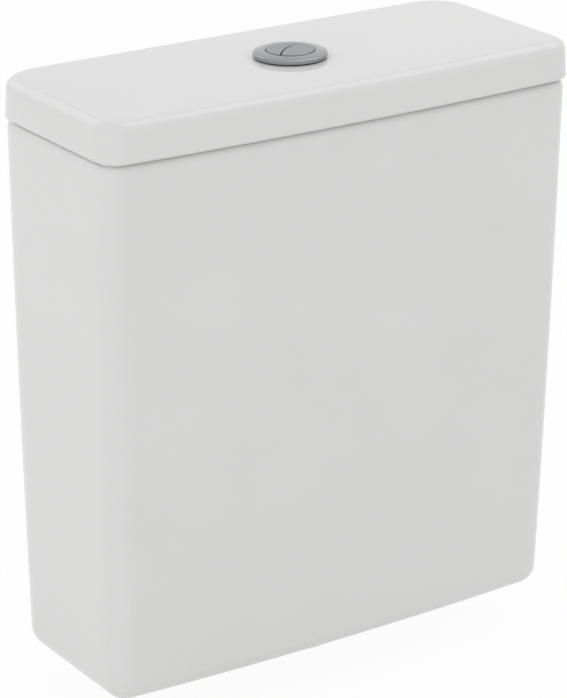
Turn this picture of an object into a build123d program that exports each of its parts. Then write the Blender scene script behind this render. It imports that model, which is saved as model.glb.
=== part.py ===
from build123d import *
import math
import os

os.makedirs("parts", exist_ok=True)

# Close-coupled toilet cistern with a dual-flush push button.
# Frame: +Z up, +Y towards the wall, +X to the right of someone facing the wall.
# The origin is on the axis of the flush outlet, in the plane of the tank's foot.
# Lengths are millimetres, angles are degrees and shares have no unit.

# Ceramic tank
tank_width = 361.5
tank_depth = 153.4
tank_height = 374.4
outlet_share = 0.55949
front_bow = 5.25
tank_front_corner = 16.0
tank_back_corner = 30.0
side_lean = 4.7
side_linear_share = 0.25
front_lean_share = 0.07953
front_linear_share = 0.8
base_edge_radius = 12.9
tank_wall = 9.0
tank_floor = 10.0
foot_height = 10.0
foot_width = 12.0
rim_radius = 2.5
back_grinding = 0.15
cavity_front_corner = 12.0
cavity_back_corner = 22.0
cavity_edge_radius = 7.0
outlet_hole_radius = 32.5
inlet_hole_radius = 12.0
inlet_share = 0.65284
bolt_share = 0.41494
bolt_hole_radius = 6.0
wall_hole_radius = 4.0
wall_hole_share = 0.60858
wall_hole_drop = 40.0

# Ceramic lid
lid_gap = 2.0
lid_side_overhang = 1.75
lid_front_overhang = 2.6
lid_height = 26.0
lid_draft = 1.3
lid_front_corner = 19.0
lid_back_corner = 31.0
lid_edge_radius = 7.5
lid_band = 15.0
lid_plate = 11.0
lid_hollow_radius = 4.0
lid_seat_width = 4.0
lid_lug_depth = 12.0
lid_lug_length = 30.0
lid_lug_width = 8.0
lid_lug_radius = 2.5
lid_hole_radius = 19.0

# Clearances and the overrun of cuts
seat_clearance = 0.3
running_clearance = 0.05
fit_clearance = 0.1
cut_overrun = 1.0

# Push button set
bezel_washer_width = 4.5
bezel_washer_height = 0.8
bezel_radius = 24.6
bezel_edge_height = 2.8
bezel_rise = 1.3
bezel_edge_radius = 0.5
well_radius = 16.5
sleeve_wall = 1.4
sleeve_length = 33.0
sleeve_lip = 1.4
sleeve_lip_height = 1.2
button_clearance = 0.35
button_split_gap = 0.7
button_split_angle = 34.0
button_split_radius = 40.0
button_split_bulge = 3.2
button_face_height = 2.0
button_skirt_height = 9.0
button_skirt_wall = 1.1
button_edge_radius = 0.6
button_travel = 7.0
button_stem_radius = 3.4
button_stem_length = 12.0
button_proud_height = 0.4
nut_gasket_height = 1.5
nut_gasket_width = 6.0
lock_nut_height = 8.0
lock_nut_radius = 26.0
lock_nut_grip_radius = 2.4
lock_nut_grip_count = 12
housing_plate_height = 3.0
housing_guide_height = 8.0
housing_guide_wall = 0.9
button_tip_radius = 1.0
spring_wire = 0.7
spring_coil_radius = 4.2
spring_turns = 6

# Rods and levers
rod_radius = 2.2
rod_engagement = 8.0
rod_across = 3.6
rod_tip_chamfer = 0.8
lever_pad_reach = 9.8
lever_arm_reach = 21.0
lever_pad_radius = 3.0
lever_arm_radius = 2.5
lever_hub_radius = 4.6
lever_thickness = 8.0
lever_half_gap = 1.0
lever_side_gap = 0.5
lever_web_height = 3.6
lever_pin_radius = 1.5
lever_pin_drop = 36.6
lever_pin_end = 2.0

# Flush valve
spigot_radius = 29.8
spigot_core_radius = 29.0
spigot_wall = 3.2
spigot_drop = 14.0
valve_flange_radius = 39.5
valve_flange_height = 4.0
base_seal_height = 3.0
base_seal_radius = 38.0
seat_radius = 24.0
seat_lip_width = 2.5
seat_rise = 6.0
strainer_bar_width = 2.5
strainer_bar_height = 12.0
strainer_bar_count = 4
strainer_boss_radius = 5.0
back_nut_height = 11.0
back_nut_radius = 34.5
back_nut_grip_radius = 3.0
back_nut_grip_count = 10
gasket_top_radius = 41.0
gasket_bottom_radius = 38.5
gasket_drop = 8.0
gasket_edge_radius = 2.0
tower_foot_radius = 38.0
tower_foot_height = 6.0
tower_radius = 36.0
tower_wall = 2.5
tower_window_height = 42.0
tower_window_width = 22.0
tower_window_count = 6
tower_window_corner = 4.0
tower_shoulder_rise = 6.0
tower_neck_radius = 20.0
tower_neck_share = 0.6189
tower_slot_width = 9.0
tower_slot_share = 0.63
tube_radius = 14.0
tube_wall = 2.0
tube_top_drop = 26.0
tube_foot_radius = 22.0
tube_foot_height = 2.5
tube_end_radius = 12.4
tube_end_bore = 10.6
seal_radius = 28.0
seal_height = 2.7
retainer_radius = 21.0
retainer_height = 3.0
full_float_radius = 30.0
full_float_height = 30.0
float_edge_radius = 3.0
float_headroom = 4.0
float_rest = 2.0
head_collar_radius = 24.0
head_collar_depth = 20.0
head_plate_height = 3.0
rail_inner_half_gap = 16.0
rail_thickness = 3.0
rail_width = 12.0
rail_tooth_pitch = 7.0
rail_tooth_depth = 1.2
rail_tooth_count = 12
guide_plate_radius = 22.0
guide_plate_height = 3.0
guide_plate_rise = 15.0
hook_thickness = 3.0
hook_width = 6.0
hook_reach = 24.2
hook_inset = 2.0
hook_lip = 5.0
hook_root_height = 12.0
half_rod_radius = 1.8
half_float_height = 26.0
half_float_inner = 22.0
half_float_outer = 36.0
half_float_angle = 56.0
guide_eye_wall = 2.0
guide_eye_height = 8.0

# Fill valve
inlet_crest_radius = 10.48
inlet_core_radius = 9.9
inlet_bore_radius = 6.5
inlet_drop = 25.0
inlet_flange_radius = 16.0
inlet_flange_height = 3.5
inlet_seal_height = 2.5
inlet_seal_radius = 17.0
inlet_nut_height = 8.0
inlet_nut_flats = 32.0
inlet_nut_flange_radius = 19.0
inlet_nut_flange_height = 2.0
shank_top = 150.0
riser_radius = 12.8
riser_wall = 1.7
shank_tube_radius = 10.9
riser_bottom = 62.0
riser_drop = 104.4
riser_rib_width = 1.6
riser_rib_depth = 1.2
riser_rib_count = 4
riser_collar_radius = 16.5
riser_collar_height = 14.0
fill_head_radius = 19.0
fill_head_height = 30.0
fill_head_wall = 2.5
fill_chamber_depth = 10.0
fill_nozzle_radius = 5.0
fill_nozzle_wall = 1.5
fill_port_radius = 3.2
fill_port_reach = 11.5
fill_cap_radius = 22.0
fill_cap_height = 9.0
fill_cap_skirt = 5.0
fill_cap_room = 3.0
fill_cap_grip_radius = 1.2
fill_cap_grip_count = 18
diaphragm_height = 2.0
fill_float_inner = 14.4
fill_float_outer = 27.0
fill_float_drop = 85.0
fill_float_height = 60.0
fill_float_wall = 1.8
fill_float_travel = 12.0
link_radius = 1.7
link_eye_radius = 4.6
link_eye_bore = 2.6
link_eye_thickness = 2.4
link_lug_height = 10.0
link_lug_wall = 2.4
link_tail = 9.0
float_arm_reach = 32.0
float_arm_tail = 9.0
float_arm_height = 4.6
float_arm_thickness = 3.0
float_hub_radius = 4.0
float_pin_radius = 1.5
float_pivot_rise = 8.0
pilot_seat_radius = 2.5
pilot_seat_height = 3.0
pivot_ear_thickness = 2.6
pivot_ear_width = 9.0
outlet_tube_radius = 6.0
outlet_tube_wall = 1.1
outlet_tube_reach = 34.0
outlet_tube_bottom = 60.0
outlet_elbow_height = 14.0
outlet_socket_wall = 1.6
outlet_socket_depth = 10.0
filter_height = 20.0
filter_radius = 5.6
filter_wall = 0.9
filter_rim_height = 1.6
filter_slot_width = 1.6
filter_slot_length = 12.0
filter_slot_count = 6

# Close-coupling bolts
bolt_core_radius = 3.7
bolt_crest_radius = 4.0
bolt_drop = 29.0
bolt_head_radius = 8.0
bolt_head_height = 5.5
bolt_slot_width = 1.8
bolt_slot_depth = 2.2
bolt_seal_height = 4.0
bolt_seal_radius = 14.0
bolt_washer_height = 1.5
bolt_washer_radius = 13.0
tank_nut_height = 6.5
tank_nut_flats = 13.0
pan_ledge = 15.0
pan_washer_radius = 12.0
pan_washer_height = 2.5
wing_hub_radius = 6.5
wing_hub_height = 8.0
wing_reach = 15.0
wing_thickness = 3.0
wing_tip_radius = 4.0

# Places worked out from the sizes above
front_lean = tank_depth * front_lean_share
tank_back = (tank_depth - front_lean) * outlet_share
tank_front = tank_back - tank_depth
floor_top = foot_height + tank_floor
lid_bottom = tank_height + lid_gap
lid_top = lid_bottom + lid_height
lid_front = tank_front - lid_front_overhang
lid_half_width = tank_width / 2 + lid_side_overhang
plate_bottom = lid_top - lid_plate
bolt_reach = bolt_share * tank_width / 2
bolt_places = [(-bolt_reach, 0), (bolt_reach, 0)]
inlet_reach = inlet_share * tank_width / 2


def lean(total, linear_share, drop_share):
    """Inward lean of a wall at a share of the drop from the rim to the foot."""
    return total * (linear_share * drop_share + (1 - linear_share) * drop_share**2)


def plan_outline(half_width, front, back, bow):
    """Edges of a plan outline with straight sides and back and a bowed front."""
    with BuildLine() as outline:
        Line((half_width, front + bow), (half_width, back))
        Line((half_width, back), (-half_width, back))
        Line((-half_width, back), (-half_width, front + bow))
        ThreePointArc((-half_width, front + bow), (0, front), (half_width, front + bow))
    return outline.edges()


def tank_form(bottom, top, inset, front_radius, back_radius):
    """The tank's leaning form between two heights, drawn in by an inset."""
    with BuildPart() as form:
        for z in (bottom, (bottom + top) / 2, top):
            drop_share = 1 - z / tank_height
            half_width = tank_width / 2 - lean(side_lean, side_linear_share, drop_share) - inset
            front = tank_front + lean(front_lean, front_linear_share, drop_share) + inset
            back = tank_back + back_grinding - inset
            with BuildSketch(Plane.XY.offset(z)) as section:
                make_face(plan_outline(half_width, front, back, front_bow))
                fillet(section.vertices().sort_by(Axis.Y)[:2], front_radius)
                fillet(section.vertices().sort_by(Axis.Y)[-2:], back_radius)
        loft()
    return form.part


# Tank: a slip-cast shell, open at the top, with a foot all round its recessed underside
tank_outer = tank_form(0, tank_height, 0, tank_front_corner, tank_back_corner)
tank_inner = tank_form(floor_top, tank_height + cut_overrun, tank_wall, cavity_front_corner, cavity_back_corner)
with BuildPart() as cavity:
    add(tank_inner)
    fillet(cavity.edges().group_by(Axis.Z)[0], cavity_edge_radius)
with BuildPart() as tank:
    add(tank_outer)
    fillet(tank.edges().group_by(Axis.Z)[0], base_edge_radius)
    add(cavity.part, mode=Mode.SUBTRACT)
    fillet(tank.faces().sort_by(Axis.Z)[-1].edges(), rim_radius)
    # The back is ground flat after firing, so that it lies against the wall
    split(bisect_by=Plane.XZ.offset(-tank_back), keep=Keep.TOP)
    base_half_width = tank_width / 2 - side_lean - foot_width
    base_front = tank_front + front_lean + foot_width
    with BuildSketch() as recess_outline:
        make_face(plan_outline(base_half_width, base_front, tank_back - foot_width, front_bow))
        fillet(recess_outline.vertices(), foot_width / 2)
    extrude(amount=foot_height, mode=Mode.SUBTRACT)
    with BuildSketch(Plane.XY.offset(foot_height - cut_overrun)):
        Circle(outlet_hole_radius)
        with Locations(*bolt_places):
            Circle(bolt_hole_radius)
        with Locations((-inlet_reach, 0)):
            Circle(inlet_hole_radius)
    extrude(amount=tank_floor + 2 * cut_overrun, mode=Mode.SUBTRACT)
    wall_holes = Plane.XZ.offset(-tank_back - cut_overrun)
    wall_hole_reach = wall_hole_share * tank_width / 2
    with BuildSketch(wall_holes):
        with Locations((-wall_hole_reach, tank_height - wall_hole_drop)):
            Circle(wall_hole_radius)
        with Locations((wall_hole_reach, tank_height - wall_hole_drop)):
            Circle(wall_hole_radius)
    extrude(amount=tank_wall + 2 * cut_overrun, mode=Mode.SUBTRACT)
tank.part.label = "tank"
export_step(tank.part, "parts/tank.step")

# Lid: a cast cover that overhangs the tank, with a seat that rests on the rim and lugs that keep it centred
lid_taper = math.degrees(math.atan2(lid_draft, lid_height))
seat_inset = lid_side_overhang + (tank_wall - lid_seat_width) / 2
with BuildPart() as lid:
    with BuildSketch(Plane.XY.offset(lid_bottom)) as lid_outline:
        make_face(plan_outline(lid_half_width, lid_front, tank_back, front_bow))
        fillet(lid_outline.vertices().sort_by(Axis.Y)[:2], lid_front_corner)
        fillet(lid_outline.vertices().sort_by(Axis.Y)[-2:], lid_back_corner)
    extrude(amount=lid_height, taper=lid_taper)
    fillet(lid.faces().sort_by(Axis.Z)[-1].edges(), lid_edge_radius)
    with BuildSketch(Plane.XY.offset(lid_bottom)) as hollow_outline:
        hollow_edges = plan_outline(lid_half_width - lid_band, lid_front + lid_band, tank_back - lid_band, front_bow)
        make_face(hollow_edges)
        fillet(hollow_outline.vertices(), lid_front_corner - lid_hollow_radius)
    extrude(amount=lid_height - lid_plate, mode=Mode.SUBTRACT)
    hollow_roof = lid.faces().filter_by(Plane.XY).group_by(Axis.Z)[-2]
    fillet(hollow_roof.edges(), lid_hollow_radius)
    with BuildSketch(Plane.XY.offset(tank_height + seat_clearance)) as seat_outline:
        seat_front = lid_front + seat_inset
        make_face(plan_outline(lid_half_width - seat_inset, seat_front, tank_back - seat_inset, front_bow))
        fillet(seat_outline.vertices().sort_by(Axis.Y)[:2], tank_front_corner - seat_inset)
        fillet(seat_outline.vertices().sort_by(Axis.Y)[-2:], tank_back_corner - seat_inset)
        offset(amount=-lid_seat_width, mode=Mode.SUBTRACT)
    extrude(amount=lid_gap - seat_clearance)
    lug_reach = tank_width / 2 - tank_wall - 4 * seat_clearance - lid_lug_width / 2
    lug_row = (tank_back + tank_front) / 2
    with BuildSketch(Plane.XY.offset(lid_bottom - lid_lug_depth)):
        with Locations((-lug_reach, lug_row), (lug_reach, lug_row)):
            RectangleRounded(lid_lug_width, lid_lug_length, lid_lug_radius)
    extrude(amount=lid_lug_depth + lid_height - lid_plate)
    with BuildSketch(Plane.XY.offset(plate_bottom - cut_overrun)):
        Circle(lid_hole_radius)
    extrude(amount=lid_plate + 2 * cut_overrun, mode=Mode.SUBTRACT)
lid.part.label = "lid"
export_step(lid.part, "parts/lid.step")

# Places of the push button set, from the lid's top down
bezel_bottom = lid_top + bezel_washer_height
bezel_top = bezel_bottom + bezel_edge_height + bezel_rise
sleeve_radius = well_radius + sleeve_wall
sleeve_bottom = lid_top - sleeve_length
gasket_bottom = plate_bottom - nut_gasket_height
housing_bottom = sleeve_bottom + sleeve_lip_height
housing_top = housing_bottom + housing_plate_height
button_radius = well_radius - button_clearance
button_top = bezel_top + button_proud_height
button_roof = button_top - button_face_height
stem_bottom = button_roof - button_stem_length
split_centre = (0, button_split_bulge - button_split_radius)
rod_hole_radius = rod_radius + seat_clearance
lever_pin_height = housing_bottom - lever_pin_drop

# Swing of the levers: half of it each side of level, from the button's travel
half_swing = math.asin(button_travel / 2 / lever_pad_reach)
stem_lift = button_travel * lever_arm_reach / lever_pad_reach
rod_reach = lever_pad_reach * (1 + math.cos(half_swing)) / 2
rod_tip = lever_pin_height + button_travel / 2 + lever_pad_radius + seat_clearance
print("lever turn", math.degrees(2 * half_swing), "stem lift", stem_lift)


def turned(u, v, turn):
    """Place on the mechanism's own axes: u along the lever pin, v across it, turned about +Z."""
    angle = math.radians(button_split_angle + turn)
    return (u * math.cos(angle) - v * math.sin(angle), u * math.sin(angle) + v * math.cos(angle))


def flat_plane(z, turn):
    """Level plane at a height, lined up with the mechanism."""
    return Plane(origin=(0, 0, z), x_dir=(*turned(1, 0, turn), 0), z_dir=(0, 0, 1))


def across_plane(u, turn):
    """Upright plane across the lever pin, with v to the right and +Z up."""
    way_u, way_v = turned(1, 0, turn), turned(0, 1, turn)
    return Plane(origin=(*turned(u, 0, turn), 0), x_dir=(*way_v, 0), z_dir=(*way_u, 0))


# Bezel washer: a thin seal between the metal ring and the lid
with BuildPart() as bezel_washer:
    with BuildSketch(Plane.XY.offset(lid_top)):
        Circle(lid_hole_radius + bezel_washer_width)
        Circle(lid_hole_radius + seat_clearance, mode=Mode.SUBTRACT)
    extrude(amount=bezel_washer_height)
bezel_washer.part.label = "bezel_washer"
export_step(bezel_washer.part, "parts/bezel_washer.step")

# Bezel: a turned ring with a coned top, on a long threaded sleeve that ends in a lip
with BuildPart() as button_bezel:
    with BuildSketch(Plane.XZ) as bezel_profile:
        with BuildLine():
            Polyline(
                (well_radius - sleeve_lip, sleeve_bottom),
                (sleeve_radius, sleeve_bottom),
                (sleeve_radius, bezel_bottom),
                (bezel_radius, bezel_bottom),
                (bezel_radius, bezel_top - bezel_rise),
                (well_radius, bezel_top),
                (well_radius, housing_bottom),
                (well_radius - sleeve_lip, housing_bottom),
                close=True,
            )
        make_face()
        outer_rim = bezel_profile.vertices().sort_by(Axis.X)[-2:].sort_by(Axis.Y)[-1]
        fillet(outer_rim, bezel_edge_radius)
        inner_rim = bezel_profile.vertices().sort_by(Axis.Y)[-1]
        fillet(inner_rim, bezel_edge_radius)
    revolve(axis=Axis.Z)
button_bezel.part.label = "button_bezel"
export_step(button_bezel.part, "parts/button_bezel.step")

# Gasket and lock nut: they clamp the sleeve under the lid's plate
with BuildPart() as nut_gasket:
    with BuildSketch(Plane.XY.offset(gasket_bottom)):
        Circle(lid_hole_radius + nut_gasket_width)
        Circle(lid_hole_radius + seat_clearance, mode=Mode.SUBTRACT)
    extrude(amount=nut_gasket_height)
nut_gasket.part.label = "nut_gasket"
export_step(nut_gasket.part, "parts/nut_gasket.step")

with BuildPart() as bezel_lock_nut:
    with BuildSketch(Plane.XY.offset(gasket_bottom - lock_nut_height)):
        Circle(lock_nut_radius)
        Circle(sleeve_radius + fit_clearance, mode=Mode.SUBTRACT)
        with PolarLocations(lock_nut_radius, lock_nut_grip_count):
            Circle(lock_nut_grip_radius, mode=Mode.SUBTRACT)
    extrude(amount=lock_nut_height)
bezel_lock_nut.part.label = "bezel_lock_nut"
export_step(bezel_lock_nut.part, "parts/bezel_lock_nut.step")

# Button housing: a plate on the sleeve's lip that guides the rods and carries the springs
rod_places = [(rod_across, -rod_reach), (-rod_across, rod_reach)]
with BuildPart() as button_housing:
    with BuildSketch(flat_plane(housing_bottom, 0)):
        Circle(well_radius - fit_clearance)
        with Locations(*rod_places):
            Circle(rod_hole_radius, mode=Mode.SUBTRACT)
    extrude(amount=housing_plate_height)
    with BuildSketch(flat_plane(housing_top, 0)):
        with Locations(*rod_places):
            Circle(rod_hole_radius + housing_guide_wall)
            Circle(rod_hole_radius, mode=Mode.SUBTRACT)
    extrude(amount=housing_guide_height)
button_housing.part.label = "button_housing"
export_step(button_housing.part, "parts/button_housing.step")

# Push buttons: two caps that share the round well, split by a bowed line, each with a stem for its rod
with BuildPart() as full_flush_button:
    with BuildSketch(flat_plane(button_top - button_skirt_height, 0)) as full_plan:
        Circle(button_radius)
        with Locations(split_centre):
            Circle(button_split_radius - button_split_gap / 2, mode=Mode.INTERSECT)
        fillet(full_plan.vertices(), button_tip_radius)
    extrude(amount=button_skirt_height)
    fillet(full_flush_button.faces().sort_by(Axis.Z)[-1].edges(), button_edge_radius)
    with BuildSketch(flat_plane(button_top - button_skirt_height, 0)):
        Circle(button_radius - button_skirt_wall)
        with Locations(split_centre):
            full_hollow_radius = button_split_radius - button_split_gap / 2 - button_skirt_wall
            Circle(full_hollow_radius, mode=Mode.INTERSECT)
    extrude(amount=button_skirt_height - button_face_height, mode=Mode.SUBTRACT)
    with BuildSketch(flat_plane(stem_bottom, 0)):
        with Locations((rod_across, -rod_reach)):
            Circle(button_stem_radius)
    extrude(amount=button_stem_length)
    with BuildSketch(flat_plane(stem_bottom, 0)):
        with Locations((rod_across, -rod_reach)):
            Circle(rod_radius + fit_clearance)
    extrude(amount=rod_engagement, mode=Mode.SUBTRACT)
full_flush_button.part.label = "full_flush_button"
export_step(full_flush_button.part, "parts/full_flush_button.step")

with BuildPart() as half_flush_button:
    with BuildSketch(flat_plane(button_top - button_skirt_height, 0)) as half_plan:
        Circle(button_radius)
        with Locations(split_centre):
            Circle(button_split_radius + button_split_gap / 2, mode=Mode.SUBTRACT)
        fillet(half_plan.vertices(), button_tip_radius)
    extrude(amount=button_skirt_height)
    fillet(half_flush_button.faces().sort_by(Axis.Z)[-1].edges(), button_edge_radius)
    with BuildSketch(flat_plane(button_top - button_skirt_height, 0)):
        Circle(button_radius - button_skirt_wall)
        with Locations(split_centre):
            half_hollow_radius = button_split_radius + button_split_gap / 2 + button_skirt_wall
            Circle(half_hollow_radius, mode=Mode.SUBTRACT)
    extrude(amount=button_skirt_height - button_face_height, mode=Mode.SUBTRACT)
    with BuildSketch(flat_plane(stem_bottom, 0)):
        with Locations((-rod_across, rod_reach)):
            Circle(button_stem_radius)
    extrude(amount=button_stem_length)
    with BuildSketch(flat_plane(stem_bottom, 0)):
        with Locations((-rod_across, rod_reach)):
            Circle(rod_radius + fit_clearance)
    extrude(amount=rod_engagement, mode=Mode.SUBTRACT)
half_flush_button.part.label = "half_flush_button"
export_step(half_flush_button.part, "parts/half_flush_button.step")


def coil_arcs(place, bottom, height, radius, turns):
    """Arcs of a coil, in pairs that meet in line, one pair for each half turn."""
    def on_coil(half_turns):
        angle = math.pi * half_turns
        rise = height * half_turns / (2 * turns)
        return Vector(place[0] + radius * math.cos(angle), place[1] + radius * math.sin(angle), bottom + rise)

    def along_coil(half_turns):
        angle = math.pi * half_turns
        climb = height / (2 * turns * math.pi)
        return Vector(-radius * math.sin(angle), radius * math.cos(angle), climb).normalized()

    with BuildLine() as coil:
        for half_turn in range(2 * turns):
            start, end = on_coil(half_turn), on_coil(half_turn + 1)
            start_way, end_way = along_coil(half_turn), along_coil(half_turn + 1)
            chord = end - start
            both = start_way + end_way
            bend = 2 * (1 - start_way.dot(end_way))
            reach = (math.sqrt(chord.dot(both) ** 2 + bend * chord.dot(chord)) - chord.dot(both)) / bend
            middle = (start + end + (start_way - end_way) * reach) / 2
            middle_way = (end - start - both * reach).normalized()
            TangentArc(start, middle, tangent=start_way)
            TangentArc(middle, end, tangent=middle_way)
    return coil.wires()[0]


def coil_gap(path, wire, turns):
    """Least gap between a turn of the coil and the next ones, on points along it."""
    steps_a_turn = 24
    points = [path.position_at(step / (steps_a_turn * turns)) for step in range(steps_a_turn * turns + 1)]
    apart = steps_a_turn // 2
    pairs = ((a, b) for a in range(len(points)) for b in range(a + apart, len(points)))
    return min((points[a] - points[b]).length for a, b in pairs) - wire


def coil_spring(turn):
    """A return spring round one rod, from the housing plate to the button's roof."""
    place = turned(rod_across, -rod_reach, turn)
    bottom = housing_top + spring_wire / 2 + seat_clearance
    height = button_roof - housing_top - spring_wire - 2 * seat_clearance
    path = coil_arcs(place, bottom, height, spring_coil_radius, spring_turns)
    print("least gap between turns of the spring", coil_gap(path, spring_wire, spring_turns))
    with BuildPart() as spring:
        with BuildSketch(Plane(origin=path @ 0, z_dir=path % 0)):
            Circle(spring_wire / 2)
        sweep(path=path)
    return spring.part


def push_rod(turn):
    """A rod from a button's stem down to its lever's pad, with a chamfered tip."""
    with BuildPart() as rod:
        with BuildSketch(flat_plane(rod_tip, turn)):
            with Locations((rod_across, -rod_reach)):
                Circle(rod_radius)
        extrude(amount=stem_bottom + rod_engagement - fit_clearance - rod_tip)
        chamfer(rod.faces().sort_by(Axis.Z)[0].edges(), rod_tip_chamfer)
    return rod.part


def flush_lever(turn):
    """A rocking lever: a round pad under the rod, a hub on the pin and an arm that lifts."""
    angle = half_swing
    way_v, way_u = turned(0, 1, turn), turned(1, 0, turn)
    along = (way_v[0] * math.cos(angle), way_v[1] * math.cos(angle), -math.sin(angle))

    def lever_plane(u):
        return Plane(origin=(*turned(u, 0, turn), lever_pin_height), x_dir=along, z_dir=(*way_u, 0))

    with BuildPart() as lever:
        with BuildSketch(lever_plane(lever_half_gap)):
            with Locations((-lever_pad_reach, 0)):
                Circle(lever_pad_radius)
            with Locations((lever_arm_reach, 0)):
                Circle(lever_arm_radius)
            with Locations(((lever_arm_reach - lever_pad_reach) / 2, 0)):
                Rectangle(lever_arm_reach + lever_pad_reach, lever_web_height)
        extrude(amount=lever_thickness)
        with BuildSketch(lever_plane(lever_side_gap)):
            Circle(lever_hub_radius)
        extrude(amount=rail_inner_half_gap - 2 * lever_side_gap)
        with BuildSketch(lever_plane(0)):
            Circle(lever_pin_radius + running_clearance)
        extrude(amount=rail_inner_half_gap, mode=Mode.SUBTRACT)
    return lever.part


full_button_spring = coil_spring(0)
full_button_spring.label = "full_button_spring"
export_step(full_button_spring, "parts/full_button_spring.step")
half_button_spring = coil_spring(180)
half_button_spring.label = "half_button_spring"
export_step(half_button_spring, "parts/half_button_spring.step")
full_push_rod = push_rod(0)
full_push_rod.label = "full_push_rod"
export_step(full_push_rod, "parts/full_push_rod.step")
half_push_rod = push_rod(180)
half_push_rod.label = "half_push_rod"
export_step(half_push_rod, "parts/half_push_rod.step")
full_flush_lever = flush_lever(0)
full_flush_lever.label = "full_flush_lever"
export_step(full_flush_lever, "parts/full_flush_lever.step")
half_flush_lever = flush_lever(180)
half_flush_lever.label = "half_flush_lever"
export_step(half_flush_lever, "parts/half_flush_lever.step")

# Lever pin: one axle through both rails and both levers
pin_half_length = rail_inner_half_gap + rail_thickness + lever_pin_end
with BuildPart() as lever_pin:
    with BuildSketch(across_plane(-pin_half_length, 0)):
        with Locations((0, lever_pin_height)):
            Circle(lever_pin_radius)
    extrude(amount=2 * pin_half_length)
lever_pin.part.label = "lever_pin"
export_step(lever_pin.part, "parts/lever_pin.step")

# Valve base: threaded outlet spigot, flange and raised seat, with a bar strainer in the outlet
spigot_bore = spigot_core_radius - spigot_wall
flange_bottom = floor_top + base_seal_height
flange_top = flange_bottom + valve_flange_height
seat_top = flange_top + seat_rise
with BuildPart() as valve_base:
    with BuildSketch(Plane.XZ):
        with BuildLine():
            Polyline(
                (spigot_bore, -spigot_drop),
                (spigot_radius, -spigot_drop),
                (spigot_radius, -gasket_drop),
                (spigot_core_radius, -gasket_drop),
                (spigot_core_radius, flange_bottom),
                (valve_flange_radius, flange_bottom),
                (valve_flange_radius, flange_top),
                (seat_radius + 2 * seat_lip_width, flange_top),
                (seat_radius + seat_lip_width, seat_top),
                (seat_radius, seat_top),
                (seat_radius, flange_top),
                (spigot_bore, flange_bottom),
                close=True,
            )
        make_face()
    revolve(axis=Axis.Z)
    with BuildSketch(Plane.XY.offset(spigot_wall - spigot_drop)):
        with PolarLocations(0, strainer_bar_count // 2, angular_range=180):
            Rectangle(2 * spigot_bore + spigot_wall, strainer_bar_width)
        Circle(strainer_boss_radius)
    extrude(amount=strainer_bar_height)
valve_base.part.label = "valve_base"
export_step(valve_base.part, "parts/valve_base.step")

with BuildPart() as valve_base_seal:
    with BuildSketch(Plane.XY.offset(floor_top)):
        Circle(base_seal_radius)
        Circle(spigot_core_radius + seat_clearance, mode=Mode.SUBTRACT)
    extrude(amount=base_seal_height)
valve_base_seal.part.label = "valve_base_seal"
export_step(valve_base_seal.part, "parts/valve_base_seal.step")

# Back nut under the floor, and the thick coupling gasket that fits over it
with BuildPart() as valve_back_nut:
    with BuildSketch(Plane.XY.offset(foot_height - back_nut_height)):
        Circle(back_nut_radius)
        Circle(spigot_core_radius + fit_clearance, mode=Mode.SUBTRACT)
        with PolarLocations(back_nut_radius, back_nut_grip_count):
            Circle(back_nut_grip_radius, mode=Mode.SUBTRACT)
    extrude(amount=back_nut_height)
valve_back_nut.part.label = "valve_back_nut"
export_step(valve_back_nut.part, "parts/valve_back_nut.step")

with BuildPart() as coupling_gasket:
    with BuildSketch(Plane.XZ) as gasket_profile:
        with BuildLine():
            Polyline(
                (back_nut_radius + seat_clearance, foot_height),
                (gasket_top_radius, foot_height),
                (gasket_bottom_radius, -gasket_drop),
                (spigot_core_radius + seat_clearance, -gasket_drop),
                (spigot_core_radius + seat_clearance, foot_height - back_nut_height - seat_clearance),
                (back_nut_radius + seat_clearance, foot_height - back_nut_height - seat_clearance),
                close=True,
            )
        make_face()
        fillet(gasket_profile.vertices().sort_by(Axis.X)[-2:], gasket_edge_radius)
    revolve(axis=Axis.Z)
coupling_gasket.part.label = "coupling_gasket"
export_step(coupling_gasket.part, "parts/coupling_gasket.step")

# Valve tower: a caged foot, a wide housing for the float and a narrow neck
tower_bore = tower_radius - tower_wall
neck_bore = tower_neck_radius - tower_wall
tower_neck_top = tower_neck_share * tank_height
half_float_bottom = tower_neck_top - head_collar_depth - float_headroom - stem_lift - half_float_height
shoulder_top = half_float_bottom - float_rest
tower_shoulder_height = shoulder_top - tower_shoulder_rise
full_float_bottom = tower_shoulder_height - tower_wall - float_headroom - stem_lift - full_float_height
window_middle = flange_top + tower_foot_height + tower_wall + tower_window_height / 2
window_top = window_middle + tower_window_height / 2
slot_middle = (window_top + tower_shoulder_height) / 2
slot_length = tower_slot_share * (tower_shoulder_height - window_top)
with BuildPart() as valve_tower:
    with BuildSketch(Plane.XZ):
        with BuildLine():
            Polyline(
                (tower_bore, flange_top),
                (tower_foot_radius, flange_top),
                (tower_foot_radius, flange_top + tower_foot_height),
                (tower_radius, flange_top + tower_foot_height),
                (tower_radius, tower_shoulder_height),
                (tower_neck_radius, shoulder_top),
                (tower_neck_radius, tower_neck_top),
                (tube_radius + seat_clearance, tower_neck_top),
                (tube_radius + seat_clearance, tower_neck_top - tower_wall),
                (neck_bore, tower_neck_top - tower_wall),
                (neck_bore, shoulder_top - tower_wall),
                (tower_bore, tower_shoulder_height - tower_wall),
                close=True,
            )
        make_face()
    revolve(axis=Axis.Z)
    for window in range(tower_window_count // 2):
        with BuildSketch(Plane.XZ.rotated((0, window * 360 / tower_window_count, 0))):
            with Locations((0, window_middle)):
                RectangleRounded(tower_window_width, tower_window_height, tower_window_corner)
        extrude(amount=tower_foot_radius, both=True, mode=Mode.SUBTRACT)
    with BuildSketch(Plane.XZ):
        with Locations((0, slot_middle)):
            SlotOverall(slot_length, tower_slot_width, rotation=90)
    extrude(amount=tower_foot_radius, both=True, mode=Mode.SUBTRACT)
valve_tower.part.label = "valve_tower"
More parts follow.
